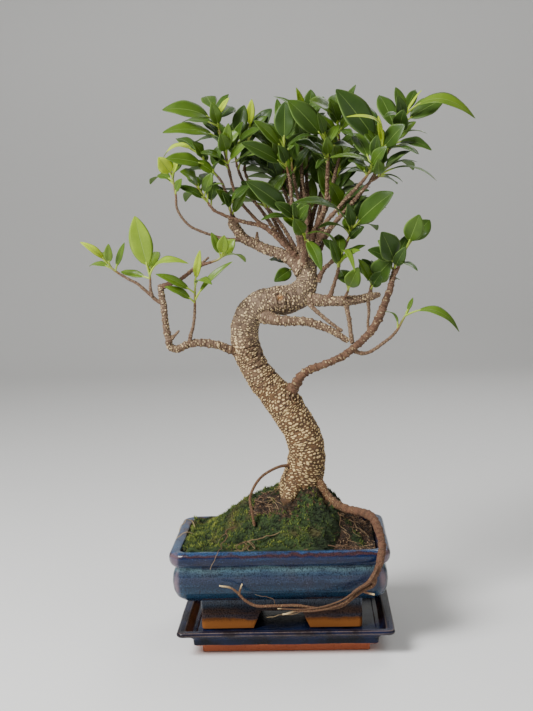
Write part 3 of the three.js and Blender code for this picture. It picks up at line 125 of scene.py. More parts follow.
# Each leafy shoot: the row where it turns green, its rows, and its leaves, (row they stand at, tip x, tip z,
# tip depth, width, arch, face, freshness); freshness is left out of a dark, grown leaf.
SHOOTS = {
    "low_left_tip": (6,
     [(-107.5, 313, -13, 3.4), (-113.5, 316, -14, 3.2), (-119.5, 321.5, -15, 3), (-126, 327.5, -16, 2.9),
      (-131, 332, -17, 2.7), (-140, 337, -18, 2.5), (-148, 342, -19, 2.3), (-154, 346.5, -20, 2.1),
      (-159, 352.5, -20, 1.7)],
     [(8, -183.5, 372.5, -34, 7, 0.16, 60, 1), (7.6, -157, 370, -36, 8, 0.05, 80, 0.6),
      (7, -176, 350, 8, 8, 0.1, 40, 0.6), (6.6, -142, 371, -30, 6, 0.04, 70, 0.45),
      (7.2, -166, 362, 16, 8, 0.1, 30, 0.6)]),
    "low_left_big_leaf": (2,
     [(-118, 320, -15, 3), (-119.5, 328, -17, 2.6), (-119.3, 335, -18, 2.1), (-119.5, 341, -18, 1.7)],
     [(2.6, -131.5, 395, -30, 21, 0.04, 84, 0.78), (2.8, -83, 350, -34, 9, 0.26, 40, 0.8),
      (2.3, -147, 344, -6, 8, 0.05, 55, 0.6), (2.8, -112, 362, 20, 12, 0.1, 60, 0.6)]),
    "low_left_pair": (6,
     [(-110, 328, -13, 4.6), (-104, 331, -13, 3.6), (-95, 333, -13, 3.3), (-87, 338, -13, 3.3),
      (-79, 344, -12, 3.2), (-71, 348, -13, 2.8), (-62, 350.5, -14, 2.5), (-55, 353, -15, 2.1),
      (-51, 356, -16, 1.8)],
     [(7.6, -61, 378, -28, 8, 0.08, 60, 0.6), (7.8, -49, 375, -34, 11, 0.05, 84, 0.75),
      (8, -39.5, 371, -22, 13, 0.1, 66, 0.7), (7, -30, 350, 22, 13, 0.14, 20, 0.6)]),
    "low_left_upright": (4,
     [(-85, 274, -6, 4), (-83.6, 282, -8, 3.4), (-81, 290, -9, 3), (-79.2, 301, -10, 2.8),
      (-78.5, 311, -11, 2.4), (-78, 322, -12, 2), (-77.5, 331, -12, 1.7)],
     [(4.2, -106, 329, -26, 9, 0.1, 50, 0.55), (5, -114, 341, -30, 9, 0.08, 55, 0.55),
      (4.4, -42, 351, -20, 6.5, 0.12, 50, 0.55), (6, -72, 362, -30, 7, 0.04, 76, 0.95),
      (5.6, -62, 330, -48, 9, 0.16, 40, 0.55)]),
    "far_right": (6,
     [(67, 266, -15, 4.4), (74, 262.5, -14, 3.6), (81, 262.5, -14, 3.3), (88, 266, -16, 3.1),
      (96, 271.5, -18, 3), (104, 277.6, -20, 2.8), (109, 283, -21, 2.5), (114, 292, -22, 2.2),
      (118, 299, -22, 1.7)],
     [(8, 124, 313, -26, 4, 0.04, 70, 0.5), (7.6, 166.5, 280, -30, 10.5, 0.33, 38, 0.5),
      (6.1, 90.5, 296, -30, 5, 0.24, 8, 0.5)]),
    "long_right_end": (14,
     [(6, 226, 6, 11), (13, 233.5, -2, 9), (18, 241, -8, 7.8), (24, 246.5, -10, 7.2),
      (33, 250, -12, 6.8), (47, 255, -14, 6.4), (59, 260.5, -15, 6.4), (69, 268, -16, 6.4),
      (79.5, 277, -16, 6.6), (87.5, 286, -16, 7), (94, 299, -16, 6.8), (99.5, 312, -15, 6),
      (103.5, 323, -14, 5.4), (106, 334, -14, 4.4), (107.5, 341, -14, 2.4), (108.5, 349, -14, 1.8)],
     [(14.3, 96, 374, -42, 22, 0.06, 66, 0.14), (14.5, 83, 358, -24, 15, 0.08, 50, 0.14),
      (14.4, 131, 339, -40, 7.5, 0.12, 14, 0.14), (14.7, 121, 371, 4, 10, 0.06, 60, 0.14),
      (14.8, 102, 372, 26, 15, 0.08, 60, 0.14)]),
    "right_round_pair": (3,
     [(106, 333, -14, 3.4), (110, 339, -15, 2.9), (113, 347, -16, 2.6), (116.5, 355, -17, 2.2),
      (120, 361, -18, 1.8)],
     [(3.8, 131, 389, -34, 18, 0.05, 84, 0.34), (3.9, 140.5, 384, -10, 17, 0.08, 66, 0.26)]),
    "right_low_round": (2,
     [(60, 311, 0, 4), (62, 316, -6, 2.6), (64, 320, -10, 2.2), (64.6, 325, -12, 1.7)],
     [(2.3, 74, 342, -44, 15, 0.06, 82, 0.4), (2.6, 54, 340, 8, 14, 0.08, 60, 0.3)]),
    "right_low_dark": (2,
     [(84, 314, -2, 5), (85, 319, 0, 3.4), (85.5, 324, 0, 2.6), (86, 330, 0, 1.8)],
     [(2.5, 104, 347, -18, 22, 0.05, 64), (2.8, 78, 350, 6, 15, 0.07, 50),
      (2.6, 112, 330, 22, 14, 0.12, 30), (2.3, 82, 330, -30, 4, 0.05, 60)]),
    "right_inner_low": (4,
     [(45, 311, 2, 6), (48.5, 319, -1, 4), (51, 326, -4, 3.4), (54, 335, -7, 2.9), (56.5, 344, -9, 2.4),
      (57.5, 350, -10, 2)],
     [(5, 27, 374.5, -50, 7, 0.2, 20, 0.35), (4.3, 76, 358, -40, 8.5, 0.1, 56, 0.55),
      (4.8, 79, 337, -44, 6.5, 0.36, 24, 0.6), (4.9, 60, 372, 12, 13, 0.08, 50, 0.35)]),
    "right_inner_mid": (5,
     [(36, 330, 6, 5), (42, 341, 5, 4), (50, 348, 4, 3.6), (57, 355, 3, 3.3), (62, 361.5, 2, 2.8),
      (65.5, 369, 0, 2.3), (69, 377, -1, 1.9), (71, 383, -2, 1.6)],
     [(6, 107.5, 410, -34, 24, 0.05, 58), (5.7, 14.5, 403, -62, 15, 0.16, 40),
      (5.4, 37.5, 379.5, -30, 8.5, 0.16, 30), (7, 84, 405, -6, 13, 0.05, 60),
      (6.7, 56, 397, 34, 15, 0.1, 40), (6.2, 92, 376, 36, 16, 0.12, 24)]),
    "right_top_main": (8,
     [(31, 350, 6, 7), (39, 368, 0, 5), (50, 380, -6, 4.4), (60, 391, -10, 3.8), (70, 402, -14, 3.4),
      (79, 412, -18, 3.1), (86, 420, -21, 2.8), (92, 430, -23, 2.5), (96, 441, -24, 2.2),
      (98, 451, -24, 1.8)],
     [(8.8, 57, 504.5, -40, 26, 0.04, 62), (8.9, 65.5, 479.5, -54, 6, 0.3, 40, 1),
      (9, 95, 480, -40, 4.5, 0.04, 80, 1), (8.6, 115, 472.5, -44, 18, 0.06, 60),
      (8.4, 130.5, 444, -48, 8.5, 0.16, 20), (8.8, 76, 492, 30, 17, 0.08, 50)]),
    "right_fan": (1,
     [(87, 421, -21, 2.8), (93, 424, -22, 2.4), (97, 428, -24, 2), (101, 432, -25, 1.7)],
     [(1.6, 49.5, 443.5, -62, 8, 0.14, 40, 0.5), (1.3, 147.5, 419.5, -34, 7, 0.2, 16, 0.35),
      (2, 118, 444, -50, 12, 0.04, 30, 0.35), (1.4, 116.5, 419, -16, 4.5, 0.14, 20, 0.35),
      (2.4, 130, 437, -18, 5.5, 0.14, 16, 0.35), (1.2, 113, 411, 6, 9, 0.06, 50, 0.35),
      (2.8, 126, 430, 34, 16, 0.12, 20, 0.35)]),
    "right_mid": (6,
     [(31, 352, 8, 6.4), (38, 368, 4, 5), (45, 384, -4, 4), (58, 398, -12, 3.6), (66, 407, -16, 3.3),
      (75, 416, -20, 3), (82, 423.5, -25, 2.6), (87, 431, -29, 2.1), (89.5, 440, -30, 1.7)],
     [(7, 73, 448, -58, 12, 0.06, 55), (6.5, 66, 430, -56, 7, 0.06, 40, 0.18),
      (8, 94, 462, -46, 10, 0.05, 60), (7.4, 72, 465, 10, 15, 0.08, 50)]),
    "right_shoulder": (2,
     [(92, 430, -23, 2.6), (98, 438, -14, 2.4), (104, 448, -10, 2.2), (110, 456, -10, 2),
      (115, 467, -12, 1.8), (118.5, 478, -14, 1.5)],
     [(5, 183, 474.5, -30, 15.5, 0.32, 44, 0.6), (4.4, 155, 492.5, -12, 19, 0.06, 56),
      (5, 111, 504.5, -24, 10, 0.05, 66, 0.3), (5, 129, 502, 8, 10, 0.05, 60),
      (4.8, 134.5, 501.5, -30, 3.6, 0.04, 40, 1), (4.5, 100, 478, -42, 8.5, 0.16, 44),
      (3.6, 118, 484, -44, 15, 0.06, 70), (3, 139.5, 462, -20, 5, 0.2, 12, 0.45),
      (2.6, 143, 447, -36, 12, 0.16, 44), (2.3, 131.5, 443.5, 4, 9, 0.18, 30, 0.5),
      (3.4, 96, 498, 16, 17, 0.08, 50, 0.25)]),
    "top_right": (5,
     [(29, 362, 8, 6), (36, 380, 2, 4.6), (44, 396, -3, 4), (46.5, 410, -5, 3.5), (47.5, 428, -7, 3.1),
      (48.5, 441, -9, 2.6), (48, 452, -10, 2.1), (46.5, 462, -11, 1.6)],
     [(6.5, 13, 496, -26, 23, 0.05, 60), (5.4, 11, 455, -46, 7.5, 0.26, 24),
      (5.2, 19, 458, -40, 16, 0.05, 52), (5, 37, 433.5, -42, 6.5, 0.1, 40),
      (7, 40, 484, -50, 8, 0.04, 76), (6, 74, 450, 4, 14, 0.12, 30)]),
    "top_right_back": (6,
     [(44, 394, -2, 4), (50, 408, 4, 3.6), (52.5, 420, 8, 3.3), (55.5, 432, 11, 3.1),
      (58.5, 444, 13, 2.8), (59, 455, 14, 2.5), (58.5, 465, 14, 2.1), (58, 474, 14, 1.7)],
     [(6.8, 33, 495, -20, 22, 0.12, 50, 0.5), (6.2, 71.5, 462, -36, 9, 0.05, 60),
      (6.4, 44, 462, 40, 16, 0.1, 40), (7, 75, 508, -6, 8, 0.06, 60), (6.6, 88, 480, 30, 16, 0.1, 40),
      (6.9, 56, 500, 46, 17, 0.08, 50)]),
    "top_centre_pair": (6,
     [(26, 362, 10, 6), (27.5, 378, 16, 4), (27.5, 392, 18, 3.5), (26, 410, 20, 3.2), (24, 430, 22, 3),
      (24, 448, 23, 2.7), (26, 462, 22, 2.3), (28, 476, 20, 1.8)],
     [(7, 21, 507, 2, 7, 0.05, 50, 0.8), (6.8, 46, 498, 10, 14, 0.08, 56), (6.4, 0, 500, 26, 8, 0.2, 20),
      (6.3, 40, 470, 62, 16, 0.12, 20), (6.6, 10, 476, 60, 16, 0.12, 24)]),
    "top_centre_back": (6,
     [(29, 364, 10, 5), (30.5, 380, 22, 3.8), (30, 398, 30, 3.3), (28.5, 416, 36, 3.1),
      (28.5, 434, 40, 2.9), (30, 452, 43, 2.6), (32, 466, 44, 2.2), (33, 478, 44, 1.7)],
     [(7, 21, 500, 70, 17, 0.08, 40), (6.8, 52, 494, 64, 17, 0.1, 30), (6.5, 2, 466, 74, 17, 0.14, 16),
      (6.3, 66, 462, 74, 17, 0.14, 16), (6.9, 34, 505, 40, 14, 0.05, 60)]),
    "centre_left": (5,
     [(21, 360, 4, 5), (19, 377, -3, 3.4), (16, 392, -8, 3), (14, 405, -11, 2.8), (13.5, 418, -12, 2.6),
      (11.5, 430, -13, 2.4), (9.5, 440, -14, 2.1), (8.5, 449, -14, 1.8), (8.5, 458, -14, 1.5)],
     [(5.6, -30.5, 459, -46, 16, 0.05, 64), (7, -18.5, 479, -30, 13, 0.06, 50, 0.4),
      (7.6, 10, 494.5, -16, 19, 0.04, 80), (7.8, 3, 498, 10, 9, 0.04, 70)]),
    "centre_right": (5,
     [(23, 362, 12, 5), (23, 382, 18, 3.2), (21.5, 400, 20, 3), (19, 412, 21, 2.8), (17, 424, 20, 2.6),
      (15.4, 433, 18, 2.4), (15, 441, 16, 2.1), (15, 449, 14, 1.7)],
     [(6, 21.5, 460, -24, 14, 0.05, 76), (6.6, -2, 474, 36, 16, 0.1, 40), (7, 30, 470, 30, 15, 0.1, 40)]),
    "centre_front": (3,
     [(24, 346, -1, 6), (24, 362, -9, 3.4), (22, 373, -16, 2.7), (19, 382, -22, 2.3),
      (16.5, 389.5, -26, 1.9)],
     [(4, -27, 424, -56, 20, 0.05, 62), (3.3, 16, 404, -54, 5, 0.04, 76),
      (3.2, 26.5, 402, -46, 9, 0.06, 70), (3.6, -15, 388, -38, 9, 0.14, 30)]),
    "centre_low_round": (2,
     [(25.5, 350, -2, 4), (25.8, 359, -8, 2.6), (25.6, 366, -12, 2.2), (25.3, 372, -15, 1.8)],
     [(2.9, 16, 395, -32, 13, 0.05, 82, 0.35), (2.6, 40, 340, -46, 12, 0.16, 40, 0.35)]),
    "trunk_top_leaf": (2,
     [(22, 326, 16, 4), (18, 334, 24, 2.6), (15, 341, 27, 2.2), (13, 346, 28, 1.7)],
     [(2.4, -4, 331, 10, 13, 0.1, 80), (2.7, 18, 336, 52, 14, 0.12, 40), (2.8, -8, 352, 46, 13, 0.1, 30)]),
    "inner_left": (8,
     [(18, 352, 8, 5), (9, 364, 8, 4), (0, 374.5, 9, 3.6), (-7, 386, 10, 3.2), (-13, 395.5, 10, 3),
      (-20, 405, 10, 2.9), (-26, 416, 10, 2.8), (-32, 428, 9, 2.5), (-35.5, 439, 8, 2.2),
      (-36.5, 450, 7, 1.8), (-36, 460, 6, 1.5)],
     [(9, -29, 478, -26, 9.5, 0.06, 60), (8.3, -12, 449.5, -32, 14, 0.06, 50, 0.4),
      (9.6, -13.5, 471, -12, 15, 0.06, 46), (9.9, -27, 493, 10, 14, 0.06, 66),
      (9.4, -66, 480, 30, 15, 0.1, 36)]),
    "inner_left_back": (7,
     [(16, 356, 12, 5), (8, 368, 16, 3.8), (0, 382, 20, 3.4), (-7, 396, 24, 3.1), (-15, 407, 27, 2.9),
      (-23, 420, 30, 2.7), (-28, 432, 32, 2.4), (-28, 444, 33, 2.1), (-25, 457, 32, 1.9),
      (-23, 470, 30, 1.6)],
     [(7.4, -13.5, 439, -4, 7.5, 0.08, 50), (9, -20, 498, 20, 8, 0.04, 84, 1),
      (8.7, -39, 477, 46, 17, 0.08, 40), (8.2, -2, 489, 30, 16, 0.06, 56),
      (7.8, -46, 452, 66, 16, 0.12, 20), (8.5, -10, 460, 70, 16, 0.12, 20)]),
    "top_left": (7,
     [(-9, 381, 0, 4), (-16, 385.5, -3, 3.4), (-24, 394, -5, 3), (-33, 405, -7, 2.8),
      (-38.5, 416, -8, 2.7), (-42, 430, -9, 2.5), (-45, 445, -10, 2.3), (-48, 460, -11, 2.1),
      (-51, 473, -12, 1.9), (-54, 486, -12, 1.6)],
     [(8.3, -102.5, 491, -34, 19, 0.15, 54, 0.4), (8.1, -84.5, 479.5, 20, 15, 0.08, 30),
      (7.1, -103, 470.5, -40, 15, 0.14, 50, 0.45), (9, -62, 502, 30, 14, 0.06, 50, 0.35),
      (8.7, -40.5, 500, -26, 5.5, 0.05, 70, 1), (8.4, -38, 492, 24, 16, 0.06, 66),
      (7.3, -76, 458, 22, 14, 0.08, 36)]),
    "top_left_low": (1,
     [(-42, 430, -9, 2.5), (-43.5, 438, -14, 2.2), (-44.5, 445, -17, 2), (-44.6, 452, -18, 1.6)],
     [(1.3, -68.5, 451, -38, 12, 0.08, 40, 0.4), (2.4, -42, 477, -36, 9.5, 0.05, 80, 0.5),
      (2.8, -58, 466, -36, 8, 0.08, 50, 0.4)]),
    "left_mid": (4,
     [(-37, 386, 2, 3.6), (-42, 396, -4, 2.8), (-45.5, 410, -8, 2.6), (-50, 424, -12, 2.4),
      (-56, 432, -14, 2.2), (-62, 439, -16, 1.9), (-67.5, 447, -17, 1.6)],
     [(5, -100.5, 447, -38, 15, 0.06, 60, 0.45), (6, -104, 446, -8, 11, 0.34, 30, 1),
      (4.3, -82, 436, 14, 11, 0.06, 40), (4.2, -52, 443, -36, 6, 0.06, 50),
      (5.4, -86, 462, 26, 13, 0.1, 30)]),
    "left_knob_leaf": (10,
     [(22, 350, 6, 6), (12, 359, 2, 5), (5, 366, 0, 4.4), (-4, 375, -2, 4), (-13, 382, -3, 3.8),
      (-23, 385, -4, 3.5), (-33, 387.5, -5, 3.2), (-42, 390.5, -7, 2.9), (-50, 394, -9, 2.7),
      (-58, 398.5, -11, 2.5), (-62, 403.5, -12, 2.3), (-66.5, 411, -14, 2), (-71, 418, -16, 1.7)],
     [(12, -88, 434.5, -38, 17, 0.14, 50, 0.45), (10.3, -47.5, 421.5, -30, 6, 0.28, 20, 0.35),
      (11.2, -84, 407, 24, 13, 0.14, 20, 0.35), (11.6, -60, 432, 28, 13, 0.1, 40, 0.35)]),
    "left_small": (1,
     [(-41, 389, 3, 3), (-42, 394.5, -5, 2.4), (-43, 399, -11, 2), (-43.4, 403, -13, 1.6)],
     [(2.4, -55.5, 417, -32, 10, 0.06, 60, 0.35), (2.6, -37, 413, -28, 7, 0.05, 56, 0.35)]),
    "left_arm": (8,
     [(-30, 370, 8, 4), (-38, 370.5, 3, 3.2), (-47, 371.5, -1, 2.7), (-58, 374.5, -4, 2.5),
      (-70, 379, -7, 2.4), (-80, 384, -10, 2.3), (-87.5, 392, -13, 2.3), (-92, 401, -15, 2.3),
      (-92.5, 412, -17, 2.1), (-94, 423, -18, 1.9), (-95.5, 431, -19, 1.6)],
     [(10, -107.5, 448, -34, 14, 0.08, 76, 1), (9.8, -85.5, 448, -34, 5, 0.06, 60, 0.95),
      (9.4, -109, 432, -4, 9, 0.08, 50, 0.45), (8.2, -86.5, 428, -28, 8, 0.08, 60, 0.45),
      (9.6, -88, 444, 18, 12, 0.1, 40, 0.45), (9, -116, 424, 24, 12, 0.14, 20, 0.45)]),
}

# The back of the crown: limbs that rise from the top of the stem, with leaves turned by the golden angle.
BACK = dict(count=11, first=6, step=16.5, leaves=4, stem=(26.5, 10), centre=(30, 12), stems=(338, 368),
            reach=(28, 58), heights=(392, 452), length=(40, 52), width=(15, 20))
# Its rows: share of the way out, share of the rise, diameter.
BACK_RISE = [(0, 0, 5), (0.22, 0.34, 3.8), (0.48, 0.64, 3.2), (0.74, 0.86, 2.7), (0.9, 0.96, 2.3),
             (1, 1.06, 1.7)]


def seen(x, z, y):
    """A true place, from the x and z at which it lines up in the trunk's plane, and its depth y."""
    reach = (y - EYE[1]) / (TRUNK_PLANE - EYE[1])
    return np.array((EYE[0] + (x - EYE[0]) * reach, y, EYE[2] + (z - EYE[2]) * reach))


def true_rows(rows):
    """Listed rows of (x, z, depth, diameter) as an array of true places with their diameters."""
    return np.array([(*seen(x, z, y), d) for x, z, y, d in rows])


def chance(i, k):
    """A number from 0 to 1 for two counts: the fraction of a large sine."""
    value = sin(i * 12.9898 + k * 78.233) * 437.585453
    return value - floor(value)


def between(span, share):
    return span[0] + (span[1] - span[0]) * share


def unit(vectors):
    return vectors / np.maximum(np.linalg.norm(vectors, axis=-1, keepdims=True), 1e-12)


def back_shoot(i):
    """A shoot of the crown's back as (green row, true stops with diameters, leaves with true tips)."""
    azimuth = radians(BACK["first"] + BACK["step"] * i)
    out = np.array((cos(azimuth), sin(azimuth), 0))
    foot = np.array((*BACK["stem"], between(BACK["stems"], chance(i, 2)))) + out * 5
    tip = np.array((*BACK["centre"], 0)) + out * between(BACK["reach"], chance(i, 1))
    tip[2] = between(BACK["heights"], (i * 0.618) % 1)
    stops = []
    for share, lift, diameter in BACK_RISE:
        point = foot + (tip - foot) * share
        point[2] = foot[2] + (tip[2] - foot[2]) * lift
        stops.append((*point, diameter))
    leaves = []
    for k in range(BACK["leaves"]):
        turn = azimuth + radians(GOLDEN * k + 40 * (chance(i, k + 20) - 0.5))
        way = unit(np.array((cos(turn), sin(turn), 0.25 + 0.6 * chance(i, k + 30))) + out * 0.9)
        stand = foot + (tip - foot) * (0.74 + 0.06 * k)
        stand[2] = foot[2] + (tip[2] - foot[2]) * (0.86 + 0.05 * k)
        end = stand + way * between(BACK["length"], chance(i, k + 40))
        width = between(BACK["width"], chance(i, k + 50))
        face, tone = degrees(atan2(-way[1], 1.2)), 0.12 + 0.2 * chance(i, k)
        leaves.append((3.9 + 0.27 * k, end, width, 0.12, face, tone))
    return 4, np.array(stops), leaves


def shoots():
    """Every shoot by name: (green row, stops with diameters, leaves), all in true places."""
    named = {}
    for name, (green, rows, leaves) in SHOOTS.items():
        listed = []
        for k, (at, x, z, y, width, arch, face, *fresh) in enumerate(leaves):
            tone = fresh[0] if fresh else 0.08 + 0.24 * chance(len(named), k)
            listed.append((at, seen(x, z, y), width, arch, face, tone))
        named[name] = (green, true_rows(rows), listed)
    for i in range(BACK["count"]):
        named[f"back_{i + 1:02d}"] = back_shoot(i)
    return named


# ---------------------------------------------------------------- surfaces worked out with numpy


def scatter(a, b, c):
    """Numbers from 0 to 1 for arrays of three whole numbers, by mixing their bits."""
    h = a * 73856093 ^ b * 19349663 ^ c * 83492791
    h = (h ^ (h >> 13)) * 1274126177 & 0x7FFFFFFF
    return ((h ^ (h >> 16)) & 0xFFFF) / 65535


def noise(points, size, seed=0):
    """Smooth noise from -1 to 1: random numbers on a lattice of that size, blended by 3t^2 - 2t^3."""
    p = np.asarray(points, float) / size + 19.7 * seed
    cell = np.floor(p).astype(np.int64)
    t = p - cell
    t = t * t * (3 - 2 * t)
    total = 0.0
    for dx in (0, 1):
        for dy in (0, 1):
            for dz in (0, 1):
                value = scatter(cell[..., 0] + dx, cell[..., 1] + dy, cell[..., 2] + dz) * 2 - 1
                weight = (t[..., 0] if dx else 1 - t[..., 0]) * (t[..., 1] if dy else 1 - t[..., 1])
                total = total + value * weight * (t[..., 2] if dz else 1 - t[..., 2])
    return total


def dashes(turn, row, around, gone):
    """How far each point is from the nearest corky dash, 1 at the dash's edge. The net is like bricks: so many
    cells around the limb, row by row, and in each an ellipse with its own place, slant and size, apart from
    the share that is gone. turn is 0 to 1 round the limb."""
    nearest = np.full(np.broadcast(turn, row).shape, 4.0)
    for up, over in np.ndindex(3, 3):
        line = np.floor(row + up - 1).astype(np.int64)
        at = turn * around + 0.5 * (line % 2)
        column = np.floor(at).astype(np.int64) + over - 1
        h = [scatter(line, column % around, k + 1) for k in range(5)]
        across = at - column - 0.5 - 0.45 * (h[0] - 0.5)
        along = row - line - 0.5 - 0.5 * (h[1] - 0.5) - 0.5 * (h[2] - 0.5) * across
        size = 0.7 + 0.65 * h[3]
        away = np.hypot(across / (0.36 * size), along / (0.31 * size)) + 9 * (h[4] < gone)
        nearest = np.minimum(nearest, away)
    return nearest


def smooth_step(low, high, value):
    t = np.clip((value - low) / (high - low), 0, 1)
    return t * t * (3 - 2 * t)


def bell(*offsets):
    """exp(-(sum of the squares of the offsets)): 1 at the middle, and next to nothing at twice the width."""
    return np.exp(-sum(offset**2 for offset in offsets))


def level(x, y):
    """Places at height 0."""
    return np.stack((x, y, 0 * x), axis=-1)


def level_ways(angle):
    """Level directions at some angles."""
    return level(np.cos(angle), np.sin(angle))


def smooth_line(stops, spacing):
    """A curve through the stops: cubic pieces between them, whose slope at a stop is the central difference."""
    gaps = np.maximum(np.linalg.norm(np.diff(stops[:, :3], axis=0), axis=1), 1e-6)
    t = np.concatenate(([0.0], np.cumsum(gaps)))
    if len(stops) > 2:
        slope = np.gradient(stops, t, axis=0)
    else:
        slope = np.repeat(np.diff(stops, axis=0) / gaps, 2, axis=0)
    fine = np.linspace(0, t[-1], max(int(t[-1] / spacing) + 1, 3))
    i = np.clip(np.searchsorted(t, fine, side="right") - 1, 0, len(gaps) - 1)
    h = gaps[i][:, None]
    s = (fine - t[i])[:, None] / h
    line = ((2 * s**3 - 3 * s**2 + 1) * stops[i] + (s**3 - 2 * s**2 + s) * h * slope[i]
            + (3 * s**2 - 2 * s**3) * stops[i + 1] + (s**3 - s**2) * h * slope[i + 1])
    return line, fine


def spokes(line, sides):
    """The angles round a line, its tangents, and at each of its points a direction square to it for each
    angle, carried along the line with the least twist."""
    tangent = unit(np.gradient(line, axis=0))
    side = np.empty_like(line)
    now = np.array((0.0, 1.0, 0.0))
    for i, way in enumerate(tangent):
        now = unit(now - way * (now @ way))
        side[i] = now
    up = np.cross(tangent, side)
    angle = np.linspace(0, 2 * pi, sides, endpoint=False)
    return angle, tangent, side[:, None] * np.cos(angle)[:, None] + up[:, None] * np.sin(angle)[:, None]


def unrolled(angle, radius, along):
    """Places on a straightened limb: round a circle of that radius, at their distance along the limb."""
    return np.stack(np.broadcast_arrays(radius * np.cos(angle), radius * np.sin(angle), along[:, None]), axis=2)


def capped(rows):
    """Rows with the first and the last one given twice, as a tube's closed ends need."""
    return np.concatenate((rows[:1], rows, rows[-1:]))


class Patches:
    """Collects grids of points and makes one mesh of them, with UVs and attributes."""

    def __init__(self):
        self.points, self.quads, self.uvs, self.values, self.count = [], [], [], {}, 0

    def grid(self, points, loop=False, uv=None, **values):
        """Quads between the rows of a grid and round its columns, and round its rows too if it loops. A row
        may be one point repeated, which closes the skin there. Points with four axes are many like grids.
        uv runs over one grid, with a last row and column more. Each value is an attribute."""
        n, m = points.shape[-3:-1]
        total = points.size // 3
        self.points.append(points.reshape(-1, 3))
        i, j = (a.ravel() for a in np.meshgrid(np.arange(n if loop else n - 1), np.arange(m), indexing="ij"))
        after, beside = (i + 1) % n * m, (j + 1) % m
        quads = np.stack((i * m + j, i * m + beside, after + beside, after + j), axis=1)
        self.quads.append((quads + np.arange(0, total, n * m)[:, None, None]).reshape(-1, 4) + self.count)
        if uv is None:
            uv = np.zeros((n + 1, m + 1, 2))
        corners = np.stack((uv[i, j], uv[i, j + 1], uv[i + 1, j + 1], uv[i + 1, j]), axis=1)
        self.uvs.append(np.tile(corners, (total // (n * m), 1, 1)))
        for key, value in values.items():
            whole = points.shape if key == "grain" else points.shape[:-1]
            flat = np.broadcast_to(value, whole).reshape(total, -1)
            self.values.setdefault(key, []).append((self.count, flat))
        self.count += total

    def mesh(self, name, material, sharp=None):
        """One object at the origin; doubled points, such as those of a closed end, are merged."""
        points = np.concatenate(self.points) * MM
        quads, uvs = np.concatenate(self.quads), np.concatenate(self.uvs)
        mesh = bpy.data.meshes.new(name)
        mesh.vertices.add(len(points))
        mesh.vertices.foreach_set("co", points.astype(np.float32).ravel())
        # a quad that ends in one point is made a triangle
        same = np.linalg.norm(points[quads] - points[np.roll(quads, -1, axis=1)], axis=2) < 1e-9
        keep = same.sum(axis=1) < 2
        quads, uvs, corners = quads[keep], uvs[keep], ~same[keep]
        mesh.loops.add(int(corners.sum()))
        mesh.loops.foreach_set("vertex_index", quads[corners].astype(np.int32))
        mesh.polygons.add(len(quads))
        starts = np.concatenate(([0], np.cumsum(corners.sum(axis=1))[:-1]))
        mesh.polygons.foreach_set("loop_start", starts.astype(np.int32))
        mesh.uv_layers.new(name="UVMap").uv.foreach_set("vector", uvs[corners].astype(np.float32).ravel())
        for key, parts in self.values.items():
            wide = parts[0][1].shape[1] == 3
            whole = np.zeros((len(points), 3 if wide else 1), np.float32)
            for start, value in parts:
                whole[start:start + len(value)] = value
            layer = mesh.attributes.new(key, "FLOAT_VECTOR" if wide else "FLOAT", "POINT")
            layer.data.foreach_set("vector" if wide else "value", whole.ravel())
        mesh.update(calc_edges=True)
        mesh.validate()
        mesh.shade_smooth()
        weld(mesh)
        if sharp:
            mesh.set_sharp_from_angle(angle=radians(sharp))
        mesh.materials.append(material)
        piece = bpy.data.objects.new(name, mesh)
        bpy.context.scene.collection.objects.link(piece)
        return piece


def weld(mesh):
    """Merges points that share a place, so that skins are closed."""
    body = bmesh.new()
    body.from_mesh(mesh)
    bmesh.ops.remove_doubles(body, verts=body.verts, dist=WELD)
    body.to_mesh(mesh)
    body.free()


def dress(piece, slot, *nodes):
    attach(piece, "root")
    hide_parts(*nodes)


def tube(patches, line, radius, sides, along=None, **values):
    """Rings of a given radius, which may vary round the ring, square to a line; both ends close to a point.
    A value may be one number, or vary along the line and round the ring. With along, the grain attribute is
    each point's place on the straightened limb."""
    angle, tangent, ways = spokes(line, sides)
    radius = np.broadcast_to(np.asarray(radius, float).reshape(len(line), -1), (len(line), sides))[..., None]
    first = line[:1, None] - tangent[:1, None] * radius[:1].mean() * 0.3
    last = line[-1:, None] + tangent[-1:, None] * radius[-1:].mean() * 0.5
    rings = np.concatenate((np.repeat(first, sides, axis=1), line[:, None] + radius * ways,
                            np.repeat(last, sides, axis=1)))
    wide = {key: capped(value.reshape(len(line), -1)) if isinstance(value, np.ndarray) else value
            for key, value in values.items()}
    if along is not None:
        wide["grain"] = unrolled(angle, capped(radius).mean(axis=(1, 2))[:, None], capped(along))
    patches.grid(rings, **wide)


def rectangle(form, inset, z, arc=10, straight=22):
    """Rings of a rounded rectangle, one for each inset and height, counterclockwise from above: each corner
    is an arc and each side is straight between them."""
    inset, z = np.broadcast_arrays(np.atleast_1d(np.asarray(inset, float)), np.asarray(z, float))
    turn = (np.arange(4)[:, None] + np.linspace(0, 1, arc + 1)) * pi / 2
    signs = [np.repeat(np.array(sign)[:, None], arc + 1, axis=1)
             for sign in ((1, -1, -1, 1.0), (1, 1, -1, -1.0))]
    corners = np.stack((*signs, np.cos(turn), np.sin(turn)), axis=1)
    share = np.linspace(0, 1, straight + 2)[1:-1]
    parts = []
    for corner, following in zip(corners, np.roll(corners, -1, axis=0)):
        start = corner[:, -1:]
        end = np.concatenate((following[:2, :1], start[2:]))
        parts += [corner, start + (end - start) * share]
    sx, sy, cx, cy = np.concatenate(parts, axis=1)
    corner = np.maximum(form["corner"] - 0.6 * inset, 3)[:, None]
    x = form["x"] + sx * (form["width"] / 2 - inset[:, None] - corner) + corner * cx
    y = form["y"] + sy * (form["depth"] / 2 - inset[:, None] - corner) + corner * cy
    return np.stack((x, y, np.broadcast_to(z[:, None], x.shape)), axis=2)


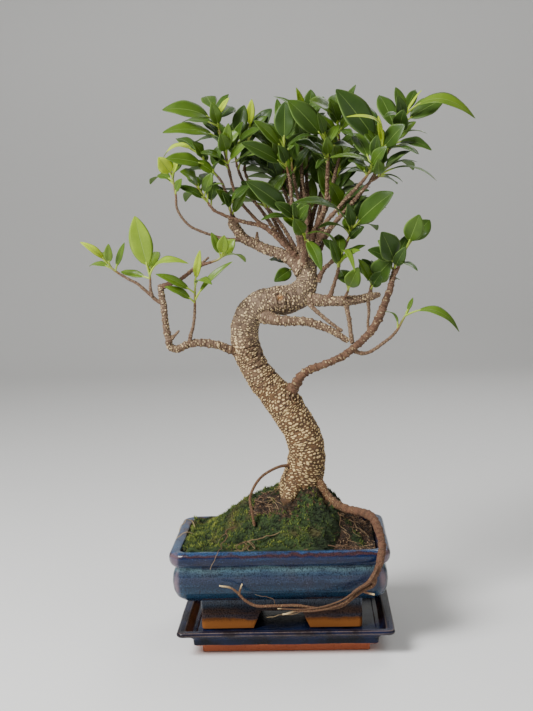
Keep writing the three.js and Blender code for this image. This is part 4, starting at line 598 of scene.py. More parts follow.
def rounded(profile, radius, steps=4, longest=4.0):
    """An open profile with its corners cut by small parabolas, and its long straights divided."""
    corners = np.array(profile, float)
    reach = [np.roll(corners, shift, axis=0) - corners for shift in (1, -1)]
    start, end = (corners + unit(way) * np.minimum(radius, 0.45 * np.linalg.norm(way, axis=1))[:, None]
                  for way in reach)
    s = np.linspace(0, 1, steps + 1)[:, None, None]
    bends = ((1 - s) ** 2 * start + 2 * s * (1 - s) * corners + s**2 * end).transpose(1, 0, 2)
    points = list(bends[0])
    for bend, following in zip(bends, bends[1:]):
        gap = following[0] - bend[-1]
        cuts = int(np.linalg.norm(gap) / longest)
        points.extend(bend[-1] + gap * (c + 1) / (cuts + 1) for c in range(cuts))
        points.extend(following)
    return np.array(points)


# ---------------------------------------------------------------- materials


class Value:
    """A number socket in a material that takes part in sums; each sum adds its Math node."""

    def __init__(self, paint, socket):
        self.paint, self.socket = paint, socket

    def sum(self, operation, first, second):
        return self.paint.node("ShaderNodeMath", {"operation": operation}, {0: first, 1: second})

    def __add__(self, other): return self.sum("ADD", self, other)
    def __radd__(self, other): return self.sum("ADD", other, self)
    def __sub__(self, other): return self.sum("SUBTRACT", self, other)
    def __rsub__(self, other): return self.sum("SUBTRACT", other, self)
    def __mul__(self, other): return self.sum("MULTIPLY", self, other)
    def __truediv__(self, other): return self.sum("DIVIDE", self, other)

    def absolute(self): return self.sum("ABSOLUTE", self, 0.0)
    def sine(self): return self.sum("SINE", self, 0.0)

    def within(self, low, high):
        """0 below low, 1 above high, and smooth between them."""
        return self.paint.node("ShaderNodeMapRange", {"interpolation_type": "SMOOTHSTEP"},
                               {"Value": self, "From Min": low, "From Max": high})


class Paint:
    """A material with one principled shader, and short ways to add the nodes that feed it."""

    def __init__(self, name, **constants):
        self.material = bpy.data.materials.new(name)
        self.material.use_nodes = True
        self.tree = self.material.node_tree
        self.shader = self.tree.nodes["Principled BSDF"]
        for key, value in constants.items():
            self.shader.inputs[key.replace("_", " ").title().replace("Ior", "IOR")].default_value = value

    def node(self, kind, settings=None, inputs=None, output=0):
        """Any node: its settings first, then the values or links of its sockets. Gives one output."""
        node = self.tree.nodes.new(kind)
        for key, value in (settings or {}).items():
            if key == "stops":
                ramp = node.color_ramp
                while len(ramp.elements) < len(value):
                    ramp.elements.new(1)
                for element, (place, colour) in zip(ramp.elements, value):
                    element.position, element.color = place, (*colour, 1)
            else:
                setattr(node, key, value)
        for key, value in (inputs or {}).items():
            if isinstance(value, Value):
                self.tree.links.new(value.socket, node.inputs[key])
            else:
                node.inputs[key].default_value = value
        return Value(self, node.outputs[output])

    def place(self):
        return self.node("ShaderNodeTexCoord", output="Object")

    def attribute(self, name, output="Fac"):
        return self.node("ShaderNodeAttribute", {"attribute_name": name}, output=output)

    def axis(self, vector, which):
        return self.node("ShaderNodeSeparateXYZ", inputs={0: vector}, output=which)

    def scaled(self, vector, x, y, z):
        return self.node("ShaderNodeVectorMath", {"operation": "MULTIPLY"}, {0: vector, 1: (x, y, z)})

    def noise(self, vector, scale, detail=3.0, roughness=0.5):
        return self.node("ShaderNodeTexNoise", inputs={"Vector": vector, "Scale": scale, "Detail": detail,
                                                       "Roughness": roughness})

    def ramp(self, value, *stops):
        return self.node("ShaderNodeValToRGB", {"stops": stops}, {"Fac": value})

    def mix(self, factor, first, second):
        first, second = (c if isinstance(c, Value) else (*c, 1) for c in (first, second))
        return self.node("ShaderNodeMix", {"data_type": "RGBA"}, {0: factor, 6: first, 7: second}, output=2)

    def coats(self, base, *coats):
        """A colour with others laid over it, each as (factor, colour)."""
        for factor, colour in coats:
            base = self.mix(factor, base, colour)
        return base

    def bump(self, height, distance, strength):
        inputs = {"Strength": strength, "Distance": distance, "Height": height}
        return self.node("ShaderNodeBump", inputs=inputs)

    def finish(self, **links):
        for key, value in links.items():
            self.tree.links.new(value.socket, self.shader.inputs[key.replace("_", " ").title()])
        return self.material


def glaze_paint(settings):
    """The pot's glaze: bands by height that run into each other, mottled with dark specks, over bare clay
    at the foot; pinkish at the rounded corners, where the glaze wears thin and a highlight is painted."""
    paint = Paint("pot_glaze", roughness=0.2, ior=1.5, coat_roughness=0.06, specular_ior_level=0.24)
    place = paint.place()
    height = paint.axis(place, "Z") * 1000
    run = paint.noise(paint.scaled(place, 95, 95, 24), 1.0, 4)
    level_run = paint.noise(paint.scaled(place, 14, 14, 210), 1.0, 4, 0.6)
    speck = paint.noise(place, 780, 3, 0.6)
    cloud = paint.noise(place, 40, 3)
    edge = paint.attribute("edge")
    bands_at = (height + (run - 0.5) * 6 + (cloud - 0.5) * 5 + (level_run - 0.5) * 5 - 15) / 80
    bands = paint.ramp(
        bands_at, (0.22, (0.10, 0.06, 0.045)), (0.27, (0.055, 0.065, 0.09)), (0.34, (0.045, 0.07, 0.12)),
        (0.42, (0.012, 0.035, 0.07)), (0.5, (0.010, 0.034, 0.065)), (0.6, settings.deep),
        (0.68, (0.018, 0.028, 0.06)), (0.74, (0.035, 0.055, 0.080)), (0.79, (0.085, 0.15, 0.17)),
        (0.825, (0.02, 0.03, 0.07)), (0.87, (0.003, 0.008, 0.034)), (0.925, (0.003, 0.013, 0.055)),
        (0.943, settings.rust), (0.957, settings.rust), (0.972, (0.02, 0.05, 0.13)), (1.0, settings.pale))
    bare = 1 - (height + (cloud - 0.5) * 5 + (run - 0.5) * 6).within(24.4, 25.8)
    stain = (height.within(19, 27) * 0.45 + run * 0.5 + speck * 0.5 - 0.2).within(0.38, 0.7)
    burnt = paint.mix(stain * 0.8, settings.clay, (0.10, 0.035, 0.012))
    colour = paint.coats(
        bands,
        (level_run.within(0.5, 0.72) * 0.4, (0.025, 0.065, 0.12)),
        (cloud.within(0.5, 0.66) * 0.35, (0.026, 0.018, 0.028)),
        (speck.within(0.46, 0.64) * 0.8, (0.004, 0.007, 0.014)),
        ((1 - speck.within(0.28, 0.38)) * 0.45, (0.09, 0.14, 0.2)),
        # pink at the rounded corners: glaze worn thin there, and partly a painted highlight
        ((edge * (0.35 + cloud * 1.4)).within(0.3, 0.9) * 0.75, (0.27, 0.18, 0.20)),
        (bare, burnt))
    relief = run * 0.5 + speck * 0.2 + level_run * 0.4 + bare * speck * 0.8
    return paint.finish(base_color=colour, roughness=0.13 + bare * 0.6 + cloud * 0.12 + speck * 0.06,
                        coat_weight=0.2 - bare * 0.2, normal=paint.bump(relief, 0.0005, 0.7))


def saucer_paint(settings):
    """The saucer's glaze: near black blue, brown where it breaks over the lip, and bare clay at the foot."""
    paint = Paint("saucer_glaze", roughness=0.2, ior=1.5, coat_roughness=0.06, specular_ior_level=0.16)
    place = paint.place()
    height = paint.axis(place, "Z") * 1000
    run = paint.noise(place, 60, 4)
    speck = paint.noise(place, 800, 3)
    patch = paint.noise(paint.scaled(place, 26, 26, 60), 1.0, 3)
    lip, inside = paint.attribute("edge"), paint.attribute("inside")
    wall = (height + (run - 0.5) * 6).within(15.5, 19) * (1 - (height + (speck - 0.5) * 5).within(21, 24.4))
    bare = 1 - (height + (run - 0.5) * 2.0).within(8.4, 9.2)
    raw = paint.coats(
        settings.foot,
        (run.within(0.35, 0.65), (0.40, 0.12, 0.06)),
        (speck.within(0.6, 0.68) * 0.45, (0.14, 0.05, 0.03)))
    colour = paint.coats(
        (0.002, 0.003, 0.009),
        (run.within(0.36, 0.64), (0.006, 0.012, 0.042)),
        (speck.within(0.6, 0.7) * 0.4, (0.03, 0.045, 0.08)),
        (wall * inside * (patch + (run - 0.5) * 0.6).within(0.46, 0.68) * 0.6, (0.13, 0.042, 0.012)),
        (height.within(20.5, 22.5) * 0.4 * patch.within(0.3, 0.6), (0.022, 0.012, 0.010)),
        ((lip * (0.2 + run * 0.6 + speck * 0.6)).within(0.5, 0.85) * 0.55, (0.20, 0.14, 0.10)),
        (bare, raw))
    bump = paint.bump(run * 0.4 + speck * 0.2 + bare * speck, 0.0004, 0.7)
    return paint.finish(base_color=colour, roughness=0.17 + bare * 0.65 + lip * 0.25 + speck * 0.1,
                        coat_weight=0.08 - bare * 0.08, normal=bump)


def soil_paint(settings):
    """Damp crumbs with pale specks; the shade attribute makes a chip or thread paler, and its low value on the
    skin between the crumbs paints shade in the hollows.
    """
    paint = Paint("soil_crumb", roughness=0.95)
    place = paint.place()
    grain = paint.noise(place, 420, 5, 0.7)
    wide = paint.noise(place, 130, 3)
    shade = paint.attribute("shade")
    colour = paint.ramp(grain * 0.5 + wide * 0.7 + shade * 0.6 - 0.22, (0.25, (0.008, 0.005, 0.003)),
                        (0.5, settings.soil), (0.72, (0.115, 0.055, 0.027)), (1.0, (0.36, 0.24, 0.13)))
    colour = paint.mix(paint.noise(place, 850, 2).within(0.63, 0.7) * 0.7, colour, (0.34, 0.22, 0.12))
    return paint.finish(base_color=colour, roughness=0.85 + grain * 0.15, normal=paint.bump(grain, 0.0012, 0.8))


def moss_paint(settings):
    """Moss from near black to yellow green by noise and by the shade attribute, which holds the leaflets' own
    tone and painted light and shade; bare ground where the earth attribute is high."""
    paint = Paint("moss_cushion", roughness=0.9)
    place = paint.place()
    fine = paint.noise(place, 700, 4, 0.65)
    patch = paint.noise(place, 60, 4, 0.6)
    shade, earth = paint.attribute("shade"), paint.attribute("earth")
    value = fine * 0.3 + patch * 0.3 + shade * 0.6
    colour = paint.ramp(value, (0.24, (0.006, 0.010, 0.003)), (0.42, (0.022, 0.045, 0.007)),
                        (0.6, settings.moss), (0.8, (0.15, 0.19, 0.025)), (1.0, (0.33, 0.36, 0.05)))
    colour = paint.mix(paint.noise(place, 33, 3).within(0.56, 0.68) * 0.5, colour, (0.10, 0.065, 0.02))
    tuft = paint.noise(place, 240, 3, 0.6)
    ground = paint.ramp(fine * 0.5 + tuft * 0.5, (0.38, (0.008, 0.005, 0.003)), (0.52, (0.036, 0.019, 0.008)),
                        (0.66, (0.16, 0.09, 0.035)))
    colour = paint.mix((earth + (patch - 0.5) * 1.2 + (tuft - 0.5) * 2.6).within(0.4, 0.6), colour, ground)
    return paint.finish(base_color=colour, normal=paint.bump(fine, 0.0015, 0.9))


def bark_paint(settings):
    """Bark: brown low on the trunk and grey above, with pale corky dashes that lie round the limb. The dash
    attribute is the distance from a dash; where it is far, cells in the grain attribute, a place on a
    straightened limb, give the small dashes of thin wood."""
    paint = Paint("bark", roughness=0.8)
    place, grain = paint.place(), paint.attribute("grain", "Vector")
    red, tip, dark, pith, dash = (paint.attribute(name) for name in ("red", "tip", "dark", "pith", "dash"))
    height = paint.axis(place, "Z") * 1000
    fine = paint.noise(place, 1000, 4, 0.65)
    rough = paint.noise(place, 330, 4, 0.6)
    wide = paint.noise(place, 38, 3)
    along = paint.noise(paint.scaled(grain, 0.09, 0.09, 0.75), 1.0, 4, 0.6)
    cells = paint.node("ShaderNodeTexVoronoi", {"voronoi_dimensions": "3D"},
                       {"Vector": paint.scaled(grain, 0.5, 0.5, 0.85), "Scale": 1.0})
    ragged = dash + (fine - 0.5) * 0.5 + (rough - 0.5) * 0.6
    large = 1 - ragged.within(0.8, 1.1)
    small = (1 - (cells + (fine - 0.5) * 0.3).within(0.26, 0.44)) * (1 - red * 0.35) * dash.within(5, 7)
    spots = (large + small).within(0.05, 0.95)
    # rim: a band just outside each corky dash, painted darker as shade round the raised dash
    rim = ragged.within(0.95, 1.2) * (1 - ragged.within(1.3, 1.9))
    grey = (height + (wide - 0.5) * 130).within(215, 310)
    cork = paint.coats(
        settings.cork,
        (grey * 0.6, (0.74, 0.60, 0.38)),
        (rough.within(0.35, 0.65) * 0.8, (0.48, 0.33, 0.16)))
    colour = paint.coats(
        settings.low_bark,
        (grey, settings.high_bark),
        (along.within(0.48, 0.7) * 0.7, (0.075, 0.036, 0.018)),
        (rough.within(0.45, 0.7) * 0.5, (0.045, 0.024, 0.013)),
        # painted shade round the dashes
        (rim * 0.45, (0.035, 0.017, 0.009)),
        (red, settings.root),
        (red * along.within(0.45, 0.65) * 0.6, (0.09, 0.035, 0.018)),
        (spots * (1 - red * 0.8) * 0.92, cork),
        # dark: the wiring cracks and the ring round the scar, and painted shade in the hollows of the stem's
        # wrinkles
        (dark * 0.92, (0.055, 0.020, 0.009)),
        (pith * (0.6 + rough * 0.6), (0.30, 0.135, 0.038)),
        (tip, (0.66, 0.5, 0.26)))
    relief = spots * 0.9 + fine * 0.3 + rough * 0.5 - along.within(0.5, 0.7) * 0.6
    return paint.finish(base_color=colour, roughness=0.72 + fine * 0.2, normal=paint.bump(relief, 0.0013, 0.95))


def leaf_paint(settings):
    """A waxy leaf: dark to fresh green by its tone, with a pale midrib, faint side veins and a thin pale edge
    worked out from its UV map, and a dull pale underside."""
    paint = Paint("leaf", roughness=0.3, ior=1.45, coat_roughness=0.2, specular_ior_level=0.2)
    uv = paint.node("ShaderNodeUVMap", {"uv_map": "UVMap"})
    across = (paint.axis(uv, "X") - 0.5).absolute() * 2
    along = paint.axis(uv, "Y")
    place = paint.place()
    cloud, fine = paint.noise(place, 55, 3), paint.noise(place, 800, 3)
    tone, under, stalk = (paint.attribute(name) for name in ("tone", "under", "stalk"))
    green = tone + (cloud - 0.5) * 0.34 + (fine - 0.5) * 0.08
    blade = paint.ramp(green, (0.0, settings.dark), (0.3, (0.042, 0.086, 0.009)), (0.55, (0.088, 0.158, 0.012)),
                       (0.8, (0.185, 0.285, 0.016)), (1.0, settings.fresh))
    veins = ((along - across * 0.32) * 88).sine().within(0.82, 1.0) * (1 - across) * 0.3
    midrib = 1 - (across + along * 0.015).within(0.018, 0.055)
    rim = across.within(0.86, 0.96)
    below = paint.coats(
        blade,
        (0.62 - tone * 0.45, settings.under),
        ((midrib * 0.6 + veins).within(0, 1) * 0.7, (0.3, 0.4, 0.09)))
    stem = paint.ramp(stalk + (cloud - 0.5) * 0.2, (0.3, (0.16, 0.075, 0.035)), (0.55, (0.2, 0.2, 0.05)),
                      (0.8, (0.27, 0.37, 0.045)), (1.0, (0.36, 0.48, 0.05)))
    colour = paint.coats(
        blade,
        ((midrib * (0.42 + tone * 0.4) + veins * 0.35).within(0, 1), (0.22, 0.34, 0.07)),
        (rim * (0.45 + cloud * 0.6), (0.20, 0.31, 0.06)),
        (under, below),
        (paint.attribute("is_stalk"), stem))
    bump = paint.bump(veins * -0.6 + fine * 0.25 - midrib * (1 - under), 0.0004, 0.7)
    return paint.finish(base_color=colour, roughness=0.33 + under * 0.3 + cloud * 0.16,
                        coat_weight=0.12 - under * 0.12, normal=bump)


# ---------------------------------------------------------------- pot and saucer


# Profiles as (inset from the widest outline, height). The pot's climbs the outside from the drain, turns over
# the rim and goes down inside; the saucer's goes from its foot over the lip to its floor.
POT_PROFILE = [(31, 34.8), (31, 43), (25, 44.6), (20, 45.2), (12, 47), (6.4, 51), (3.6, 57), (2.6, 65),
               (3.2, 72), (5.2, 77.6), (5.4, 79), (2.4, 80.6), (0.6, 84), (0, 89), (1.4, 92.4), (4.5, 93.5),
               (10, 93), (11.5, 90), (11.8, 60), (14, 51), (24, 47.5)]
SAUCER_PROFILE = [(22, 0), (21.5, 8), (14.5, 8.4), (14, 14), (9, 19.5), (1, 20.6), (0, 22.8), (1.2, 25),
                  (7.6, 24.6), (9.5, 21), (12, 16.5), (16, 15.5)]
DRAIN = 6  # the drain's radius
WALL = 11.95  # from the rim's outline to the soil


def edge_wear(profile, places, size):
    """1 at the named corners of a profile, falling off over size."""
    away = np.min([np.linalg.norm(profile - place, axis=1) for place in places], axis=0)
    return bell(away / size)[:, None]


def hand_made(points, amount, seed):
    """Pushes points by slow noise, as clay that was pressed and dried."""
    shift = np.stack([noise(points, 34, seed + k) for k in range(3)], axis=-1)
    return points + shift * np.array((amount, amount, amount * 0.6))


def pot_patches():
    """A loop of rounded rectangles that climbs the outside, turns over the rim and goes down inside to the
    round drain, and a wall of its own for the foot, whose lower edge lifts over the arches."""
    patches = Patches()
    profile = rounded(POT_PROFILE, 1.6)
    rings = rectangle(POT, profile[:, 0], profile[:, 1])
    corner = np.minimum(np.abs(rings[..., 0] - POT["x"]) - 84, np.abs(rings[..., 1] - POT["y"]) - 57)
    # edge: thin glaze at the rim's edges; at the rounded corners, thin glaze with a painted highlight
    edge = np.maximum(edge_wear(profile, [(0.2, 90.5), (2.6, 57)], 1.6) * 0.12,
                      smooth_step(0, 9, corner) * (profile[:, 0] < 10)[:, None] * 0.55)
    rings = hand_made(rings, 0.35, 1)
    angle = np.arctan2(rings[0, :, 1] - POT["y"], rings[0, :, 0] - POT["x"])
    drain = DRAIN * level_ways(angle) + (POT["x"], POT["y"], 0)
    low, high = ((drain + (0, 0, POT_PROFILE[end][1]))[None] for end in (0, -1))
    edge = np.concatenate((edge[:1] * 0, edge, edge[:1] * 0))
    patches.grid(np.concatenate((low, rings, high)), loop=True, edge=edge)
    outer, inner = foot_ring(26.2), foot_ring(35.5)
    share = (ARCH["bottom"] / 2 - np.abs(outer[:, 0] - POT["x"])) * 2 / (ARCH["bottom"] - ARCH["top"])
    base = POT_BASE + ARCH["height"] * np.clip(share, 0, 1)
    height = np.linspace(0, 1, 14)[:, None]
    up = base + (44.9 - base) * height
    down = base + (36 - base) * height[::-1]
    bevel = np.array((0.7, *np.zeros(13)))[:, None]
    outside = np.dstack((outer[:, 0] + 0 * up, outer[:, 1] + 0 * up, up + bevel))
    toward = unit(inner - outer)
    outside[0, :, :2] = outer + toward * 0.7
    outside[0, :, 2] = base
    outside[1:, :, :2] += toward * (0.6 * (1 - height[1:, :, None]) - 0.4)
    inside = np.dstack((inner[:, 0] + 0 * down, inner[:, 1] + 0 * down, down))
    patches.grid(hand_made(np.concatenate((outside, inside)), 0.2, 5), loop=True, edge=0.0)
    return patches


def foot_ring(inset):
    """The foot's outline at one inset, with points just at the ends of the arches' slopes. Its second half is
    the first one mirrored in the middle."""
    x, y, corner = POT["width"] / 2 - inset, POT["depth"] / 2 - inset, 3.0
    low, high = ARCH["bottom"] / 2, ARCH["top"] / 2
    ends = (corner - x, -low, -high, high, low, x - corner)
    wide = np.interp(np.linspace(0, 1, 81), (0, 0.3, 0.4, 0.6, 0.7, 1), ends)
    deep = np.linspace(corner - y, y - corner, 30)
    bend = np.linspace(0, pi / 2, 7)[1:-1]
    half = np.concatenate((
        np.column_stack((wide, 0 * wide - y)),
        np.column_stack((x - corner + corner * np.sin(bend), corner - y - corner * np.cos(bend))),
        np.column_stack((0 * deep + x, deep)),
        np.column_stack((x - corner + corner * np.cos(bend), y - corner + corner * np.sin(bend)))))
    return np.concatenate((half, -half)) + (POT["x"], POT["y"])


def saucer_patches():
    """Rounded rectangles that climb the saucer's outside, turn over the lip and go down to its floor, which
    shrinks to its centre, as the underside does."""
    patches = Patches()
    profile = rounded(SAUCER_PROFILE, 0.9)
    rings = rectangle(SAUCER, profile[:, 0], profile[:, 1])
    edge = edge_wear(profile, [(1.0, 24.8), (7.4, 24.5), (0.2, 22)], 0.9)
    inside = (np.arange(len(profile)) > np.argmax(profile[:, 1])).astype(float)[:, None]
    shrink = np.linspace(0, 1, 9)[:-1, None, None]
    under = rings[:1] * np.concatenate((shrink, shrink, shrink * 0 + 1), axis=2)
    floor_rings = rings[-1:] * np.concatenate((shrink[::-1], shrink[::-1], shrink * 0 + 1), axis=2)
    zeros = np.zeros((8, 1))
    rings = hand_made(rings, 0.25, 9)
    rings[:4, :, 2] = np.maximum(rings[:4, :, 2], 0)
    patches.grid(np.concatenate((under, rings, floor_rings)), edge=np.concatenate((zeros, edge, zeros)),
                 inside=np.concatenate((zeros, inside, zeros + 1)))
    return patches


# ---------------------------------------------------------------- soil and moss


SOIL_RINGS, MOSS_RINGS = 84, 96  # with more, the moss would pass 200,000 triangles
BED = (-91, 83), (-51, 67)  # where litter and leaflets are strewn, in x and y
# What lies on the soil, crumbs, bark and needles: count, smallest and largest half length, thickness as a
# share of it, and how far a lump tips.
STREWN = ((9000, 0.35, 1.4, 0.6, 0.4), (800, 1.0, 2.6, 0.3, 0.5), (700, 1.6, 5.0, 0.1, 0.6))
THREADS = 900


def within_bed(at, half_width, half_depth):
    """The places that are no further than this from the pot's middle."""
    return at[(np.abs(at[:, 0] - POT["x"]) < half_width) & (np.abs(at[:, 1] - POT["y"]) < half_depth)]


def soil_height(x, y):
    """The bell of soil: edge + rise (1 - across^2 - deep^2)^fall, with soft hollows."""
    across = (x - MOUND["x"]) / np.where(x < MOUND["x"], MOUND["left"], MOUND["right"])
    deep = (y - MOUND["y"]) / np.where(y < MOUND["y"], MOUND["front"], MOUND["back"])
    swell = np.maximum(0, 1 - across**2 - deep**2)
    hollows = 1.2 * np.sin(x * 0.11 + 1) * np.cos(y * 0.13) * swell
    return MOUND["edge"] + (MOUND["crown"] - MOUND["edge"]) * swell ** MOUND["fall"] + hollows


def moss_cover(x, y):
    """How thick the moss lies, from 0 to 1: none at the right end, but for a tuft, or in the litter left of
    the trunk."""
    flat = level(x, y)
    ragged = noise(flat, 12, 3) + 0.6 * noise(flat, 5, 4)
    bare = smooth_step(40, 58, x - 0.2 * (y - MOUND["y"]) + 9 * ragged)
    litter = bell(((x + 14) / 17) ** 2, ((y + 2) / 19) ** 2) * (1 + 0.5 * ragged)
    tuft = 0.7 * bell((x - 68) / 8, (y + 22) / 10)
    return np.clip((1 - bare) * (1.1 - 1.5 * litter) + 0.25 * noise(flat, 7, 8) - 0.05 + tuft, 0, 1)


def mound_rings(shares):
    """Rings at shares of the way from the mound's centre to the pot's inner wall, at height 0."""
    form = dict(POT, width=POT["width"] - 2 * WALL, depth=POT["depth"] - 2 * WALL, corner=8)
    outline = rectangle(form, 0, 0, 8, 52)[0]
    centre = np.array((MOUND["x"], MOUND["y"], 0))
    return centre + (outline - centre) * np.asarray(shares)[:, None, None]


def strewn(draw, count):
    """Places on the mound, as an array with the soil's height for its last column."""
    x, y = (draw.uniform(*span, count) for span in BED)
    return np.stack((x, y, soil_height(x, y)), axis=1)


def chips(draw, at, sizes, slant):
    """Flat lumps of five sides at each place: half sizes in three directions, the first two turned about the
    upright by a random angle and tipped by up to slant."""
    n = len(at)
    turn, tip = draw.uniform(0, 2 * pi, n), draw.normal(0, slant, n)
    long = np.stack((np.cos(turn) * np.cos(tip), np.sin(turn) * np.cos(tip), np.sin(tip)), axis=1)
    wide = level(-np.sin(turn), np.cos(turn))
    axes = np.stack((long, wide, np.cross(long, wide)), axis=1)[:, None, None]
    ring = level_ways(np.arange(5) * 2 * pi / 5) * draw.uniform(0.7, 1.2, (n, 5, 1))
    pole = np.broadcast_to(np.array((0, 0, 1.0)), ring.shape)
    lumps = np.stack((-pole, ring, pole), axis=1) * sizes[:, None, None]
    return (lumps[..., None] * axes).sum(axis=-2) + at[:, None, None]


def soil_patches(draw):
    """The mound's skin, rough with noise, over a plain lower body, strewn with lumps and bowed threads."""
    patches = Patches()
    top = mound_rings(np.linspace(0.99, 0.0, SOIL_RINGS))
    x, y = top[..., 0], top[..., 1]
    top[..., 2] = soil_height(x, y) + 1.4 * noise(top, 7, 1) + 0.9 * noise(top, 3.1, 2)
    low = mound_rings((0, 0.8, 0.93, 0.99))
    low[..., 2] = np.array((50, 50, 60, 85))[:, None]
    # painted shade: the skin between the crumbs gets a low shade, so the hollows look dark
    patches.grid(np.concatenate((low, top)), shade=0.08)
    for count, small, large, flat, slant in STREWN:
        at = strewn(draw, count)
        at = at[draw.random(count) > moss_cover(at[:, 0], at[:, 1]) * 1.08] + (0, 0, 0.8)
        size = draw.uniform(small, large, (len(at), 1)) * draw.uniform(0.6, 1.2, (len(at), 3))
        size = size * (1, flat, flat * 0.8)
        pale = 0.4 if flat < 0.2 else 0.1
        shade = draw.uniform(-0.25, 0.7, len(at)) + 0.5 * (draw.random(len(at)) < pale)
        patches.grid(chips(draw, at, size, slant), shade=shade[:, None, None])
    at = strewn(draw, THREADS)
    at = at[draw.random(THREADS) > moss_cover(at[:, 0], at[:, 1]) * 1.15] + (0, 0, 1.4)
    at = within_bed(at, 80, 52)
    n, s = len(at), np.linspace(-1, 1, 7)[:, None]
    turn, bow = draw.uniform(0, 2 * pi, n), draw.normal(0, 2.2, n)
    half, rise = draw.uniform(2, 6.5, n), draw.normal(0, 0.12, n)
    thread = np.stack((half * s, bow * (1 - s**2), half * (rise * s + 0.25 * (1 - s**2))), axis=2)
    x, y = thread[..., 0], thread[..., 1]
    thread[..., 0], thread[..., 1] = x * np.cos(turn) - y * np.sin(turn), x * np.sin(turn) + y * np.cos(turn)
    thread = (thread + at).transpose(1, 0, 2)[:, :, None]
    corner = np.arange(3) * 2 * pi / 3
    ring = np.stack((0 * corner, np.cos(corner), np.sin(corner)), axis=1) * draw.uniform(0.16, 0.34, (n, 1, 1))
    across, turn = ring[..., 1], turn[:, None]
    ring = np.stack((-across * np.sin(turn), across * np.cos(turn), ring[..., 2]), axis=2)
    patches.grid(thread + ring[:, None] * (1 - s[None, :, None] ** 4), shade=draw.uniform(0.4, 1.1, (n, 1, 1)))
    return patches


def moss_patches(draw, length, count):
    """The cushion's skin, lumpy with noise, and thousands of small pointed leaflets that stand on it."""
    patches = Patches()

    # painted shadow: the moss right of the trunk's foot is darkened
    def painted_shadow(at):
        return smooth_step(20, 42, at[..., 0] - 0.25 * (at[..., 1] + 20))

    def earthy(at):
        x, y = at[..., 0], at[..., 1]
        return (bell(((x - 28) / 17) ** 2 + ((y + 6) / 15) ** 2)
                + 0.9 * bell(((x - 3) / 13) ** 2 + ((y + 22) / 9) ** 2))

    def cushion(x, y):
        flat = level(x, y)
        lumps = 2.3 * noise(flat, 11, 5) + 1.9 * noise(flat, 5.4, 6)
        wall = np.maximum(np.abs(x - POT["x"]) - 76, np.abs(y - POT["y"]) - 49)
        near = bell((x - 31) / 17, (y + 14) / 18) + 0.6 * bell((x - 3) / 10, (y + 24) / 8)
        thick = moss_cover(x, y) * (6.2 + lumps + 1.4 * smooth_step(0, 10, wall) + 10 * near)
        return soil_height(x, y) - 1.8 + thick + 1.3 * noise(flat, 3.2, 7)

    top = mound_rings(np.linspace(0.992, 0.06, MOSS_RINGS))
    top[..., 2] = cushion(top[..., 0], top[..., 1])
    skin = np.concatenate((top[::-1] - (0, 0, 4), top))
    # the skin is darker than the leaflets, as painted shade in the gaps between them, and darker still in the
    # painted shadow
    patches.grid(skin, loop=True, shade=0.16 - 0.1 * painted_shadow(skin), earth=earthy(skin))
    at = strewn(draw, count)
    at = at[draw.random(count) < moss_cover(at[:, 0], at[:, 1]) ** 0.6]
    at = within_bed(at, 87.6, 60.2)
    flat = at * (1, 1, 0)
    at[:, 2] = cushion(at[:, 0], at[:, 1]) - 0.3
    n = len(at)
    lean = draw.normal(0, 0.75, (n, 3)) + (0, 0, 1)
    tip = at + unit(lean) * draw.uniform(0.5, 1.0, (n, 1)) * length
    turn = draw.uniform(0, 2 * pi, n)[:, None] + np.arange(3) * 2 * pi / 3
    size = draw.uniform(0.4, 0.85, (n, 1, 1))
    foot = at[:, None] + level_ways(turn) * size
    leaflets = np.stack((np.repeat(at[:, None], 3, axis=1), foot, np.repeat(tip[:, None], 3, axis=1)), axis=1)
    # painted light and shade: the leaflets' tone follows the cushion's lumps, paler on their tops and darker in
    # the hollows
    patch = (0.3 + 0.25 * noise(flat, 11, 5) + 0.3 * noise(flat, 5.4, 6) + 0.3 * noise(flat, 26, 31)
             + 0.6 * noise(flat, 3.2, 7))
    shade = (patch + draw.uniform(-0.32, 0.42, n) - 0.4 * painted_shadow(at)).clip(0, 1)
    # painted shade at each leaflet's foot and painted light at its tip
    patches.grid(leaflets, shade=shade[:, None, None] + np.array((-0.15, -0.15, 0.15))[:, None],
                 earth=0.8 * earthy(at)[:, None, None])
    return patches


